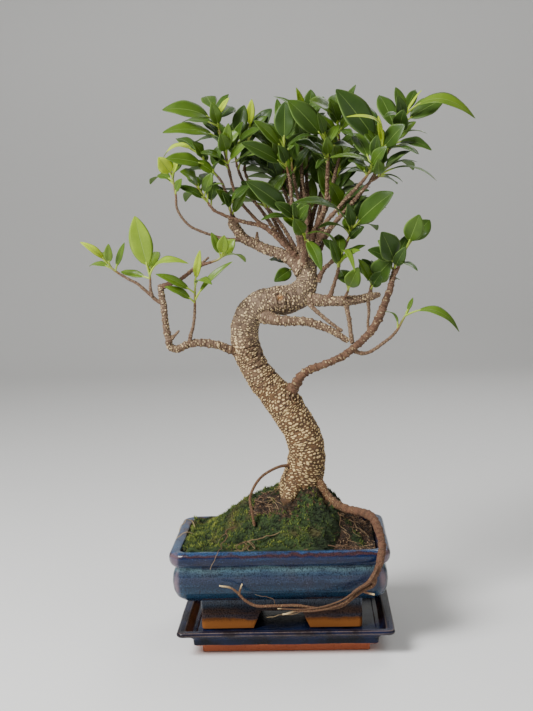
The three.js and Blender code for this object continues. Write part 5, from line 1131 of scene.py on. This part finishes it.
# Fine roots as places with one diameter: over the rim, on the moss, along the wall and in the litter.
FINE_ROOTS = [
    ([(-44.2, -38, 111), (-52.6, -42, 108), (-50.7, -46, 104), (-55.3, -52, 99.5), (-56.8, -57, 96),
      (-58.2, -64.4, 94.8), (-60.2, -66, 91), (-64.2, -66.4, 83.2), (-65.7, -66, 79.5)], 1.1),
    ([(-52, -43, 107), (-57, -46, 104), (-59, -50, 101)], 0.6),
    ([(-32.8, -46, 99.4), (-21.5, -44, 101.5), (-10.3, -41, 103.6), (-1.2, -38, 106.6),
      (2.2, -36, 108.6)], 1.2),
    ([(-32.8, -46, 99.4), (-35, -50, 96), (-37.4, -54, 93.6)], 0.9),
    ([(-32.8, -46, 99.4), (-39.6, -48, 97.6), (-44.5, -50, 96.6)], 0.9),
    ([(-32.8, -46, 99.4), (-27.7, -50, 96.4), (-25.8, -54, 94.6)], 0.8),
    ([(-30, -49, 97), (-33, -53, 95), (-31, -56, 93.6)], 0.6),
    ([(40, -49, 95.5), (48, -51.5, 94.6), (58.2, -52.2, 94.4), (68.7, -51.8, 94.8), (78.9, -49.6, 95.4)], 1.1),
    ([(-88, 30, 94), (-91, 34, 99.2), (-94.6, 32, 101), (-98.1, 26, 99.8), (-101.2, 20, 95.4),
      (-102.6, 17, 90)], 1.2),
    ([(-86, 0, 95), (-90, -4, 97.4), (-95, -6, 96.8), (-100.5, -8, 95), (-103.2, -9, 90)], 1),
    ([(-15.4, -4, 130), (-10.6, -9, 129), (-7.7, -13, 126.6), (-5.4, -17, 123)], 1.1),
    ([(-14, -2, 130), (-7, -10, 129), (-2, -16, 126)], 0.9),
    ([(-22, -6, 127), (-15, -14, 124), (-12, -20, 120)], 0.9),
    ([(-28, 2, 126), (-20, -8, 127), (-10, -10, 129.5)], 0.8),
    ([(-34, -8, 119), (-26, -14, 119), (-18, -22, 116)], 0.8),
    ([(50, -18, 118), (53, -22, 112), (52, -25, 108), (57, -28, 103)], 0.8),
    ([(63, -26, 116), (65, -29, 109), (63, -32, 104), (69, -35, 99)], 0.7),
    ([(60, -10, 109), (66, -12, 105), (70, -18, 101), (76, -17, 97)], 0.6),
    ([(54, -28, 103), (60, -34, 99), (58, -38, 98), (66, -42, 95)], 0.6),
    ([(66, 4, 103), (72, -6, 99), (78, -20, 94)], 0.6),
    ([(50, 22, 110), (60, 34, 103), (72, 40, 95)], 0.6),
    ([(-40, 40, 113), (-22, 50, 111), (-6, 54, 110)], 0.8),
    ([(20, 46, 116), (34, 54, 105), (48, 56, 98)], 0.9),
    ([(-8.2, -74.8, 48.5), (-10.5, -75, 53.9), (-17, -75, 56.6), (-25.8, -75, 59.1)], 0.6),
    ([(20, -74, 44), (8, -73, 40.5), (-4, -72.4, 39), (-16, -72, 37)], 0.9),
    ([(-34, -47, 100), (-41, -52, 98), (-42, -57, 95.2), (-37, -59, 94.8), (-34, -54, 97)], 0.7),
    ([(-31, -48, 100), (-26, -53, 97), (-27, -58, 95), (-32, -59, 94.8), (-33, -54, 97.4)], 0.7),
    ([(-36, -49, 99.6), (-32, -54, 98), (-36, -60, 95), (-44, -61, 94.9)], 0.6)]


def fine_root_patches(draw):
    """Fine pale roots along their places, each with small random bends between them."""
    patches = Patches()
    for places, size in FINE_ROOTS:
        stops = np.array(places, float)
        curve, along = smooth_line(np.column_stack((stops, np.full(len(stops), size))), 1.0)
        bend = np.stack([noise(curve[:, :3], 4.5, 40 + k) for k in range(3)], axis=1) * 1.6
        line = curve[:, :3] + bend * np.sin(pi * along / along[-1])[:, None]
        pale = 0.9 if stops[0, 0] < -80 else draw.uniform(0.0, 0.5)
        share = along / along[-1]
        tube(patches, line, size * 0.42 * (1 - 0.55 * share**2), 6, along * 3, red=0.9 - pale,
             tip=pale * 0.6 + 0.4 * smooth_step(0.6, 1, share), dark=0.0, pith=0.0, dash=NO_DASH)
    return patches


# ---------------------------------------------------------------- trunk, branches and roots


def limb(patches, stops, spacing, sides, rough=1.0, red=0.0, cells=1.0, tip=0.0, flare=0.0, gone=None):
    """A limb along its stops. Its radius is the given one, times slow lumps, fine rings round the limb and
    joints where leaves once stood; flare widens its foot, tip is how far from its end it turns pale, red is
    how red its skin is, cells stretches its grain, and gone is the share of its net of corky dashes that is
    left out, if it has one."""
    line, along = smooth_line(stops, spacing)
    line, radius = line[:, :3], np.maximum(line[:, 3] / 2, 0.25)
    radius = radius * (1 + flare * np.exp(-along / 5))
    angle, _, ways = spokes(line, sides)
    skin = line[:, None] + ways * radius[:, None, None]
    size = np.clip(radius.mean(), 1.0, 14)
    thin = smooth_step(7, 3, size)
    lumps = 0.055 * noise(skin, size * 1.3, 11) + 0.03 * noise(skin, size * 0.5, 12)
    rings = noise(unrolled(angle, 1.6, along / size * 2.6) * (1, 1, 1 + 0.3 * thin), 1, 13)
    joint = 0.11 * thin * bell(((along + 2.5 * noise(line, 9, 14)) % 7 - 3.5) / 0.8)
    radius = radius[:, None] * (1 + rough * (lumps + (0.022 + 0.05 * thin) * rings + joint[:, None]))
    end = smooth_step(along[-1] - tip, along[-1], along) if tip else 0.0
    dash = NO_DASH
    if gone is not None:
        row = along[:, None] / 2.1 + 0.5 * noise(skin, 9, 41)
        dash = dashes(angle / (2 * pi), row, max(round(2 * size), 7), gone)
        radius = radius + 0.4 * (1 - smooth_step(0.4, 1.2, dash))
    red = np.interp(along, *red) if isinstance(red, tuple) else red
    tube(patches, line, radius, sides, along * cells, red=red, tip=end, dark=0.0, pith=0.0, dash=dash)


STEM_SIDES = 150
# The cracks where the stem was wired: height, slope across the front, and the angles where each starts and
# ends.
CRACKS = ((252, 0.30, 2.7, 5.3), (241, 0.34, 3.0, 5.5), (262, 0.22, 3.7, 5.1), (233, 0.3, 2.2, 3.9),
          (271, 0.2, 2.6, 4.0))
SCAR = (1, 316, -6)  # x, z and depth, as in the lists
KNOBS = (((-41, 285, -4), 6, 1), ((-20, 232, -4), 5, 0.7), ((-27, 248, -4), 5, 0.6))  # place, width, height
WRINKLED = ((-27, 263, 2), (-4, 330, 2), (14, 222, -2), (1, 312, -6))  # joints with wrinkles round them


def stem_patches(spacing):
    """The main stem: flutes at its foot, wrinkles round it with painted shade in their hollows, raised corky
    dashes, dark cracks where it was wired, and the round scar of a pruned branch at the front of the bend."""
    patches = Patches()
    line, along = smooth_line(true_rows(TRUNK), spacing)
    line, base = line[:, :3], line[:, 3:] / 2
    angle, _, ways = spokes(line, STEM_SIDES)
    skin = line[:, None] + ways * base[..., None]
    z = line[:, 2:]

    def away_from(place):
        return np.linalg.norm(skin - seen(*place), axis=2)

    flutes = (1 - smooth_step(128, 165, z)) * (0.05 * np.cos(5 * angle + 0.8) + 0.03 * np.cos(9 * angle + 2))
    around = unrolled(angle, 3.4, along * 0.42)
    wired = bell((z - 246) / 22)
    lumps = 0.06 * noise(skin, 17, 21) + 0.055 * noise(skin, 7, 22)
    lumps = lumps + (0.016 + 0.03 * wired) * noise(around, 1, 23)
    rings = -(0.012 + 0.022 * wired) * smooth_step(0.15, 0.6, noise(around * (0.45, 0.45, 1.9), 1, 27))
    row = along[:, None] / 2.3 + 0.7 * noise(skin, 11, 41)
    turn = angle / (2 * pi) + 0.012 * noise(skin, 14, 42)
    dash = dashes(turn, row, 26, 0.06 + 0.34 * smooth_step(210, 330, z + 40 * noise(skin, 20, 43)))
    raised = (1 - smooth_step(0.4, 1.2, dash)) * (0.55 - 0.15 * smooth_step(200, 330, z))
    away = np.linalg.norm((skin - seen(*SCAR)) * (1, 0.5, 1), axis=2)
    scar = np.exp(-(away / 2.5) ** 4)
    collar = bell((away - 5.0) / 1.6)
    cracks_and_shade = 0.7 * bell((away - 3.2) / 0.6)
    for height, lean, start, end in CRACKS:
        off = skin[..., 2] - height - lean * (skin[..., 0] + 22) + 1.6 * noise(skin, 5, 26)
        front = smooth_step(start, start + 0.3, angle) * (1 - smooth_step(end - 0.3, end, angle))
        cracks_and_shade = np.maximum(cracks_and_shade, bell(off / 0.85) * front)
    knob = sum(high * bell(away_from(place) / wide) for place, wide, high in KNOBS)
    for place in WRINKLED:
        away = away_from(place) + 1.5 * noise(skin, 6, 44)
        wrinkle = np.sin(away * 1.7) * bell(away / 14)
        lumps = lumps + 0.045 * wrinkle
        # painted shade: the hollows of each wrinkle are darkened through the dark attribute
        cracks_and_shade = np.maximum(cracks_and_shade, 0.55 * smooth_step(0.2, 0.7, -wrinkle) * (1 - scar))
    radius = base * (1 + flutes + lumps + rings + 0.08 * knob)
    radius = radius + raised * (1 - scar) - 0.9 * cracks_and_shade - 1.0 * scar + 1.5 * collar
    tube(patches, line, radius, STEM_SIDES, along, red=0.0, tip=0.0, dark=cracks_and_shade, pith=scar, dash=dash)
    return patches


# The first bare limbs are the flares at the trunk's foot: how far each is sunk, its thickness, and the length
# of its last stretch, both as shares of the solid's. The next bare limb is the looping root.
FLARES = ((3, 1.15, 0.55), (5, 0.72, 1), (4, 0.74, 1), (3, 0.85, 1))


def branch_patches():
    """The flares at the trunk's foot and the woody limbs that carry no leaves of their own."""
    patches = Patches()
    for k, rows in enumerate(BARE_LIMBS):
        stops = true_rows(rows)
        thick = stops[:, 3].max()
        if k < len(FLARES):
            sunk, share, reach = FLARES[k]
            stops = (stops - (0, 0, sunk, 0)) * (1, 1, 1, share)
            stops[-1] = stops[-2] + (stops[-1] - stops[-2]) * reach
            limb(patches, stops, 0.8, 52, gone=0.15)
        elif k == len(FLARES):
            limb(patches, stops, 1.1, 12, rough=0.5, red=0.7, cells=1.6, flare=0.2)
        else:
            sides = 44 if thick > 10 else 30 if thick > 6 else 14
            red, cells, gone = (0.2, 1.0, 0.35) if thick > 9 else (0.35, 1.4, None)
            limb(patches, stops, 0.9, sides, rough=1.8, red=red, cells=cells, flare=0.35, gone=gone)
    return patches


# A thin strand beside the hanging root that the solids leave out, in true places.
STRAND = [(83, -79, 84), (76, -79, 71), (64, -77.5, 62.5), (52, -76.6, 54), (38, -76, 48.5), (24, -75, 45.4),
          (8, -74.6, 45), (-6, -74, 45.6)]


def root_patches():
    """The thick root that swings over the rim, and its strands, whose tips are cream."""
    patches = Patches()
    for k, rows in enumerate(HANGING_ROOTS):
        stops = np.array([(x, y, z, d * (0.88 if k == 0 else 1)) for x, z, y, d in rows], float)
        if k == 0:
            along = np.concatenate(([0], np.cumsum(np.linalg.norm(np.diff(stops[:, :3], axis=0), axis=1))))
            red = (along, 0.3 + 0.65 * smooth_step(10, 70, along))
            limb(patches, stops, 0.9, 34, rough=1.5, red=red, cells=1.2, flare=0.3)
        else:
            limb(patches, stops, 1.0, 14, red=0.8, cells=1.3, tip=13 if k < 3 else 6, flare=0.1)
    stops = np.column_stack((STRAND, np.linspace(1.9, 1.0, len(STRAND))))
    limb(patches, stops, 1.2, 8, red=0.75, cells=2, tip=4)
    return patches


def twig_patches(named):
    """The woody part of each shoot, from the stem or branch to the row where it turns green."""
    patches = Patches()
    for k, (green, stops, _) in enumerate(named.values()):
        stops = stops[:green + 1] if green > 1 else stops[:3]
        sides, rough, gone = (26, 2.2, 0.5) if stops[0, 3] > 4.5 else (13, 1.6, None)
        red = 0.4 + 0.35 * chance(k, 9)
        limb(patches, stops, 0.9, sides, rough=rough, red=red, cells=1.5, flare=0.25, gone=gone)
    return patches


# ---------------------------------------------------------------- leaves


# A shoot gets further small leaves if its end is above and right of these, in z and x, or if it is named here.
CROWN_FLOOR, CROWN_LEFT = 380, -88
FILLED = ("long_right_end", "right_low_dark", "right_inner_low")


def standing(stops, at):
    """The place on a shoot's axis at a row number, which may lie between two rows."""
    row = min(floor(at), len(stops) - 2)
    return stops[row, :3] + (stops[row + 1, :3] - stops[row, :3]) * (at - row)


def turned_tips(foot, tip):
    """Where a leaf's tip comes to after each number of turns on its spiral round its first direction."""
    chord = tip - foot
    axis = unit(chord)
    across = unit(np.cross(chord, (0.31, 0.17, 0.93)))
    count = np.arange(TURNS)
    spin, tilt = np.radians(GOLDEN * count)[:, None], np.radians(TURN_STEP * np.sqrt(count))[:, None]
    turned = across * np.cos(spin) + np.cross(axis, across) * np.sin(spin)
    return foot + chord * np.cos(tilt) + np.cross(turned, chord) * np.sin(tilt)


def placed_tip(foot, tip, corners):
    """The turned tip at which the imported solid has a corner, or the first where the solid found no room."""
    tips = turned_tips(foot, tip)
    near = np.min(np.linalg.norm(tips[:, None] - corners[None], axis=2), axis=1) < FOUND
    return tips[np.argmax(near)]


def small_leaves(stops, green, count, size, seed):
    """Further small leaves round a shoot's green part, each a golden angle on from the last, that fill the
    crown between the leaves of the solids."""
    leaves = []
    way = unit(stops[-1, :3] - stops[green - 1, :3])
    for k in range(count):
        turn = radians(GOLDEN * (k + 0.5) + 360 * chance(seed, 60))
        share = (k + 0.6) / count
        at = green - 0.8 + (len(stops) - 1 - green + 0.7) * share
        foot = standing(stops, at)
        out = unit(np.array((cos(turn), sin(turn), 0.1 + 0.7 * chance(seed, k + 70))) + way * 0.7)
        tip = foot + out * (size + 12 * chance(seed, k + 80))
        face = 30 + degrees(atan2(-out[1], 1.1)) + 24 * (chance(seed, k + 90) - 0.3)
        width, tone = size * 0.42 + 4 * chance(seed, k + 95), 0.08 + 0.45 * chance(seed, k + 99)
        leaves.append((at, tip, width, 0.1, face, tone))
    return leaves


def leaf(patches, foot, tip, width, arch, face, tone, seed):
    """A stalk and a blade. The midrib is the chord plus a bow 4 arch t (1 - t); the half width is
    sin(pi s^0.93)^0.75; the halves rise from the midrib, and their edges wave a little."""
    chord = tip - foot
    length = np.linalg.norm(chord)
    lean = radians(face)
    side = unit(np.cross(chord, (0, -sin(lean), cos(lean))))
    normal = unit(np.cross(side, chord))

    def midrib(t):
        t = t[:, None]
        return foot + chord * t + normal * (4 * arch * length * t * (1 - t))

    t = np.linspace(0, PETIOLE + 0.05, 8)
    tube(patches, midrib(t), np.linspace(1.0, 0.75, 8), 7, tone=tone, is_stalk=1.0,
         stalk=0.62 + 0.38 * tone + 0.1 * chance(seed, 3))
    s = np.concatenate((np.linspace(0, 0.92, 15), (0.96, 0.985, 1.0)))
    half = width / 2 * np.sin(pi * s**0.93).clip(0) ** 0.75 + 0.8 * (1 - s) ** 4
    half[-1] = 0
    v = np.linspace(-1, 1, 9)
    ring = np.concatenate((v[::-1], v[1:-1]))
    top = np.concatenate((np.zeros(9), np.ones(7)))
    top[0] = top[8] = 0.5
    across, depth = ring[None], half[:, None]
    swell = np.sqrt(np.maximum(1 - ring**2, 0)) * np.where(top > 0.4, 1, -1)
    wave = 0.14 * np.sin(2 * pi * (1.6 * s[:, None] + chance(seed, 5)) + across) * across**2
    cup = FOLD * np.abs(across) ** 1.25 + wave * (0.35 + 0.65 * chance(seed, 6)) * np.sin(pi * s)[:, None]
    rib = -0.3 * np.exp(-(across * depth / 0.9) ** 2) * (1 - 0.8 * s[:, None])
    thick = 0.34 * swell * np.minimum(depth / 1.2, 1) + rib
    droop = 0.05 * length * (smooth_step(0.75, 1.0, s) * s)[:, None]
    lift = cup * depth + thick - droop * 0.25
    lift[-1] = 0
    axis = midrib(PETIOLE + (1 - PETIOLE) * s)[:, None]
    points = axis + side * (across * depth)[..., None] + normal * lift[..., None]
    u = 0.5 + 0.5 * np.append(ring, ring[0])
    uv = np.dstack(np.broadcast_arrays(u[None], s[:, None]))
    patches.grid(points, uv=uv, tone=tone, under=1 - top)


def bud(patches, foot, way, length, seed):
    """A slender pointed bud at a shoot's end."""
    s = np.linspace(0, 1, 9)
    bend = np.array((chance(seed, 1) - 0.5, -0.3, chance(seed, 2) - 0.3)) * 0.25
    line = foot + (way + bend * s[:, None]) * (length * s)[:, None]
    tube(patches, line, 1.15 * np.sin(pi * (0.28 + 0.72 * s)) ** 0.9 + 0.08, 8, tone=0.9, is_stalk=1.0,
         stalk=0.4 + 0.6 * chance(seed, 4))


def shoot_patches(name, green, stops, leaves, seed):
    """A green stem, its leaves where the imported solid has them, and its bud."""
    patches = Patches()
    line, along = smooth_line(stops[green:] if len(stops) - green > 1 else stops[-2:], 1.2)
    tube(patches, line[:, :3], np.maximum(line[:, 3] / 2, 0.75), 10, tone=0.5, is_stalk=1.0,
         stalk=0.3 + 0.45 * along / along[-1])
    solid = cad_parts["shoot_" + name].data
    corners = np.empty(len(solid.vertices) * 3, np.float32)
    solid.vertices.foreach_get("co", corners)
    corners = corners.reshape(-1, 3) / MM
    listed = len(leaves)
    if stops[-1, 2] > CROWN_FLOOR and stops[-1, 0] > CROWN_LEFT or name in FILLED:
        count, size = (5, 29) if name.startswith("back") else (4, 22)
        leaves = leaves + small_leaves(stops, green, count, size, seed)
    for k, (at, tip, width, arch, face, tone) in enumerate(leaves):
        foot = standing(stops, at)
        if k < listed:
            tip = placed_tip(foot, tip, corners)
        leaf(patches, foot, tip, width, arch, face, tone, seed * 11 + k)
    way = unit(stops[-1, :3] - stops[-2, :3])
    bud(patches, stops[-1, :3] - way, way, 5 + 5 * chance(seed, 8), seed)
    return patches


# ---------------------------------------------------------------- add-on


class GlazeSettings(bpy.types.PropertyGroup):
    deep: FloatVectorProperty(name="Deep blue", description="Glaze where it lies thick", subtype="COLOR",
                              size=3, min=0, max=1, default=(0.006, 0.014, 0.036))
    pale: FloatVectorProperty(name="Rim blue", description="Glaze on top of the rim", subtype="COLOR",
                              size=3, min=0, max=1, default=(0.035, 0.10, 0.20))
    rust: FloatVectorProperty(name="Break brown", description="Glaze where it runs thin over an edge",
                              subtype="COLOR", size=3, min=0, max=1, default=(0.05, 0.019, 0.020))
    clay: FloatVectorProperty(name="Pot foot", description="Burnt clay at the pot's foot", subtype="COLOR",
                              size=3, min=0, max=1, default=(0.265, 0.092, 0.019))
    foot: FloatVectorProperty(name="Saucer foot", description="Bare clay at the saucer's foot", subtype="COLOR",
                              size=3, min=0, max=1, default=(0.42, 0.13, 0.065))


class GroundSettings(bpy.types.PropertyGroup):
    soil: FloatVectorProperty(name="Soil", description="Damp soil", subtype="COLOR", size=3, min=0, max=1,
                              default=(0.034, 0.018, 0.009))
    moss: FloatVectorProperty(name="Moss", description="Lit moss", subtype="COLOR", size=3, min=0, max=1,
                              default=(0.07, 0.115, 0.014))
    leaflet: FloatProperty(name="Leaflet", description="Length of a moss leaflet", unit="LENGTH",
                           default=0.0036, min=0.0005, max=0.006)
    leaflets: IntProperty(name="Leaflets", description="Moss leaflets before the bare places are left out",
                          default=22000, min=1000, max=30000)


class BarkSettings(bpy.types.PropertyGroup):
    low_bark: FloatVectorProperty(name="Low bark", description="Brown bark low on the trunk", subtype="COLOR",
                                  size=3, min=0, max=1, default=(0.135, 0.068, 0.022))
    high_bark: FloatVectorProperty(name="High bark", description="Grey bark above the bends", subtype="COLOR",
                                   size=3, min=0, max=1, default=(0.20, 0.138, 0.088))
    cork: FloatVectorProperty(name="Cork dashes", description="Pale corky dashes", subtype="COLOR", size=3,
                              min=0, max=1, default=(0.72, 0.52, 0.235))
    root: FloatVectorProperty(name="Roots and twigs", description="Red brown skin of roots and young wood",
                              subtype="COLOR", size=3, min=0, max=1, default=(0.118, 0.050, 0.024))
    spacing: FloatProperty(name="Ring spacing", description="Distance between the stem's rings of points",
                           unit="LENGTH", default=0.0006, min=0.0005, max=0.005)


class LeafSettings(bpy.types.PropertyGroup):
    dark: FloatVectorProperty(name="Grown leaf", description="Dark green of a grown leaf", subtype="COLOR",
                              size=3, min=0, max=1, default=(0.018, 0.042, 0.008))
    fresh: FloatVectorProperty(name="Fresh leaf", description="Yellow green of a new leaf", subtype="COLOR",
                               size=3, min=0, max=1, default=(0.38, 0.50, 0.022))
    under: FloatVectorProperty(name="Underside", description="Dull pale underside", subtype="COLOR", size=3,
                               min=0, max=1, default=(0.13, 0.20, 0.065))


class StageSettings(bpy.types.PropertyGroup):
    floor: FloatVectorProperty(name="Floor", description="Colour of the floor", subtype="COLOR", size=3, min=0,
                               max=1, default=(0.8, 0.8, 0.79))
    key: FloatProperty(name="Key light", description="Power of the soft light at the upper left",
                       subtype="POWER", unit="POWER", default=66.0, min=0)
    fill: FloatProperty(name="Fill light", description="Power of the soft light at the right", subtype="POWER",
                        unit="POWER", default=5.0, min=0)
    back: FloatProperty(name="Back light", description="Power of the soft light behind, at the right",
                        subtype="POWER", unit="POWER", default=8.0, min=0)
    lens: FloatProperty(name="Focal length", description="The camera's focal length", subtype="DISTANCE_CAMERA",
                        unit="CAMERA", default=60.76, min=10)


class BONSAI_OT_stage(bpy.types.Operator):
    """Makes the pale floor, the soft lights and the camera"""
    bl_idname = "bonsai.stage"
    bl_label = "Stage"

    def execute(self, context):
        settings = context.scene.bonsai_stage
        mesh = bpy.data.meshes.new("floor")
        bend = np.linspace(0, pi / 2, 17)
        y = np.concatenate(([-5, -1.5, 1.2], 2.0 + np.sin(bend), [3.0]))
        z = np.concatenate(([0, 0, 0], 1 - np.cos(bend), [5.0]))
        x = np.array([[-7.0], [7.0]])
        corners = np.stack(np.broadcast_arrays(x, y, z), axis=2)
        faces = [(k, k + len(y), k + len(y) + 1, k + 1) for k in range(len(y) - 1)]
        mesh.from_pydata(corners.reshape(-1, 3).tolist(), [], faces)
        mesh.shade_smooth()
        floor_object = bpy.data.objects.new("floor", mesh)
        paint = Paint("floor", roughness=0.6, base_color=(*settings.floor, 1))
        mesh.materials.append(paint.material)
        context.scene.collection.objects.link(floor_object)
        for name, (place, size) in LIGHTS.items():
            light = bpy.data.lights.new(name, "AREA")
            light.size, light.energy = size, getattr(settings, name)
            lamp = bpy.data.objects.new(name, light)
            way = np.array(AIM) - place
            lamp.matrix_world = looking(unit(way), 0.0, np.array(place))
            context.scene.collection.objects.link(lamp)
        world = bpy.data.worlds.new("studio")
        world.use_nodes = True
        sky = world.node_tree.nodes["Background"]
        sky.inputs["Color"].default_value, sky.inputs["Strength"].default_value = SKY, SKY_STRENGTH
        context.scene.world = world
        pan, pitch = radians(CAMERA["pan"]), radians(CAMERA["pitch"])
        forward = np.array((sin(pan) * cos(pitch), cos(pan) * cos(pitch), -sin(pitch)))
        camera = bpy.data.cameras.new("camera")
        camera.lens, camera.sensor_width, camera.sensor_fit = settings.lens, 36, "AUTO"
        viewer = bpy.data.objects.new("camera", camera)
        viewer.matrix_world = looking(forward, radians(CAMERA["roll"]), np.array(CAMERA["place"]) * MM)
        context.scene.collection.objects.link(viewer)
        context.scene.camera = viewer
        return {"FINISHED"}


def looking(forward, roll, place):
    """The matrix of a camera or lamp at a place that looks forward, turned by roll about that way."""
    right = unit(np.cross(forward, (0, 0, 1)))
    up = np.cross(right, forward)
    turned = np.array((right * cos(roll) - up * sin(roll), right * sin(roll) + up * cos(roll), -forward))
    matrix = np.eye(4)
    matrix[:3, :3], matrix[:3, 3] = turned.T, place
    return Matrix(matrix.tolist())


class BONSAI_OT_pot(bpy.types.Operator):
    """Makes the glazed pot and its saucer"""
    bl_idname = "bonsai.pot"
    bl_label = "Pot and saucer"

    def execute(self, context):
        settings = context.scene.bonsai_glaze
        pot = pot_patches().mesh("glazed_pot", glaze_paint(settings), sharp=50)
        dress(pot, "pot_glaze", "pot")
        saucer = saucer_patches().mesh("glazed_saucer", saucer_paint(settings), sharp=50)
        dress(saucer, "saucer_glaze", "saucer")
        return {"FINISHED"}


class BONSAI_OT_ground(bpy.types.Operator):
    """Makes the soil, the moss and the fine roots on them"""
    bl_idname = "bonsai.ground"
    bl_label = "Soil and moss"

    def execute(self, context):
        settings = context.scene.bonsai_ground
        draw = np.random.default_rng(7)
        dress(soil_patches(draw).mesh("soil_mound", soil_paint(settings)), "soil", "soil")
        moss = moss_patches(draw, settings.leaflet / MM, settings.leaflets)
        dress(moss.mesh("moss_cushions", moss_paint(settings)), "moss", "moss")
        return {"FINISHED"}


class BONSAI_OT_wood(bpy.types.Operator):
    """Makes the stem, branches, twigs and roots"""
    bl_idname = "bonsai.wood"
    bl_label = "Bark and roots"

    def execute(self, context):
        settings = context.scene.bonsai_bark
        bark = bark_paint(settings)
        pieces = {"stem_bark": stem_patches(settings.spacing / MM), "branches": branch_patches(),
                  "hanging_root": root_patches(), "twigs": twig_patches(shoots()),
                  "fine_roots": fine_root_patches(np.random.default_rng(11))}
        for name, patches in pieces.items():
            dress(patches.mesh(name, bark), "bark", "trunk")
        return {"FINISHED"}


class BONSAI_OT_leaves(bpy.types.Operator):
    """Makes the green stems, leaves and buds of each shoot"""
    bl_idname = "bonsai.leaves"
    bl_label = "Leafy shoots"

    def execute(self, context):
        paint = leaf_paint(context.scene.bonsai_leaf)
        for seed, (name, (green, stops, leaves)) in enumerate(shoots().items()):
            patches = shoot_patches(name, green, stops, leaves, seed)
            dress(patches.mesh("leaves_" + name, paint), "leaves", "shoot_" + name)
        return {"FINISHED"}


class BONSAI_PT_panel(bpy.types.Panel):
    """Lists the pieces of the bonsai"""
    bl_label = "Fig bonsai"
    bl_idname = "BONSAI_PT_panel"
    bl_space_type = "VIEW_3D"
    bl_region_type = "UI"
    bl_category = "Bonsai"

    def draw(self, context):
        for group, operator in (("bonsai_stage", BONSAI_OT_stage), ("bonsai_glaze", BONSAI_OT_pot),
                                ("bonsai_ground", BONSAI_OT_ground), ("bonsai_bark", BONSAI_OT_wood),
                                ("bonsai_leaf", BONSAI_OT_leaves)):
            box = self.layout.box()
            settings = getattr(context.scene, group)
            for key in settings.__annotations__:
                box.prop(settings, key)
            box.operator(operator.bl_idname)


GROUPS = {"bonsai_stage": StageSettings, "bonsai_glaze": GlazeSettings, "bonsai_ground": GroundSettings,
          "bonsai_bark": BarkSettings, "bonsai_leaf": LeafSettings}
CLASSES = (*GROUPS.values(), BONSAI_OT_stage, BONSAI_OT_pot, BONSAI_OT_ground, BONSAI_OT_wood, BONSAI_OT_leaves,
           BONSAI_PT_panel)


def register():
    for cls in CLASSES:
        bpy.utils.register_class(cls)
    for name, group in GROUPS.items():
        setattr(bpy.types.Scene, name, PointerProperty(type=group))


def unregister():
    for name in GROUPS:
        delattr(bpy.types.Scene, name)
    for cls in reversed(CLASSES):
        bpy.utils.unregister_class(cls)


def main():
    register()
    bpy.ops.bonsai.stage()
    bpy.ops.bonsai.pot()
    bpy.ops.bonsai.ground()
    bpy.ops.bonsai.wood()
    bpy.ops.bonsai.leaves()


if __name__ == "__main__":
    main()
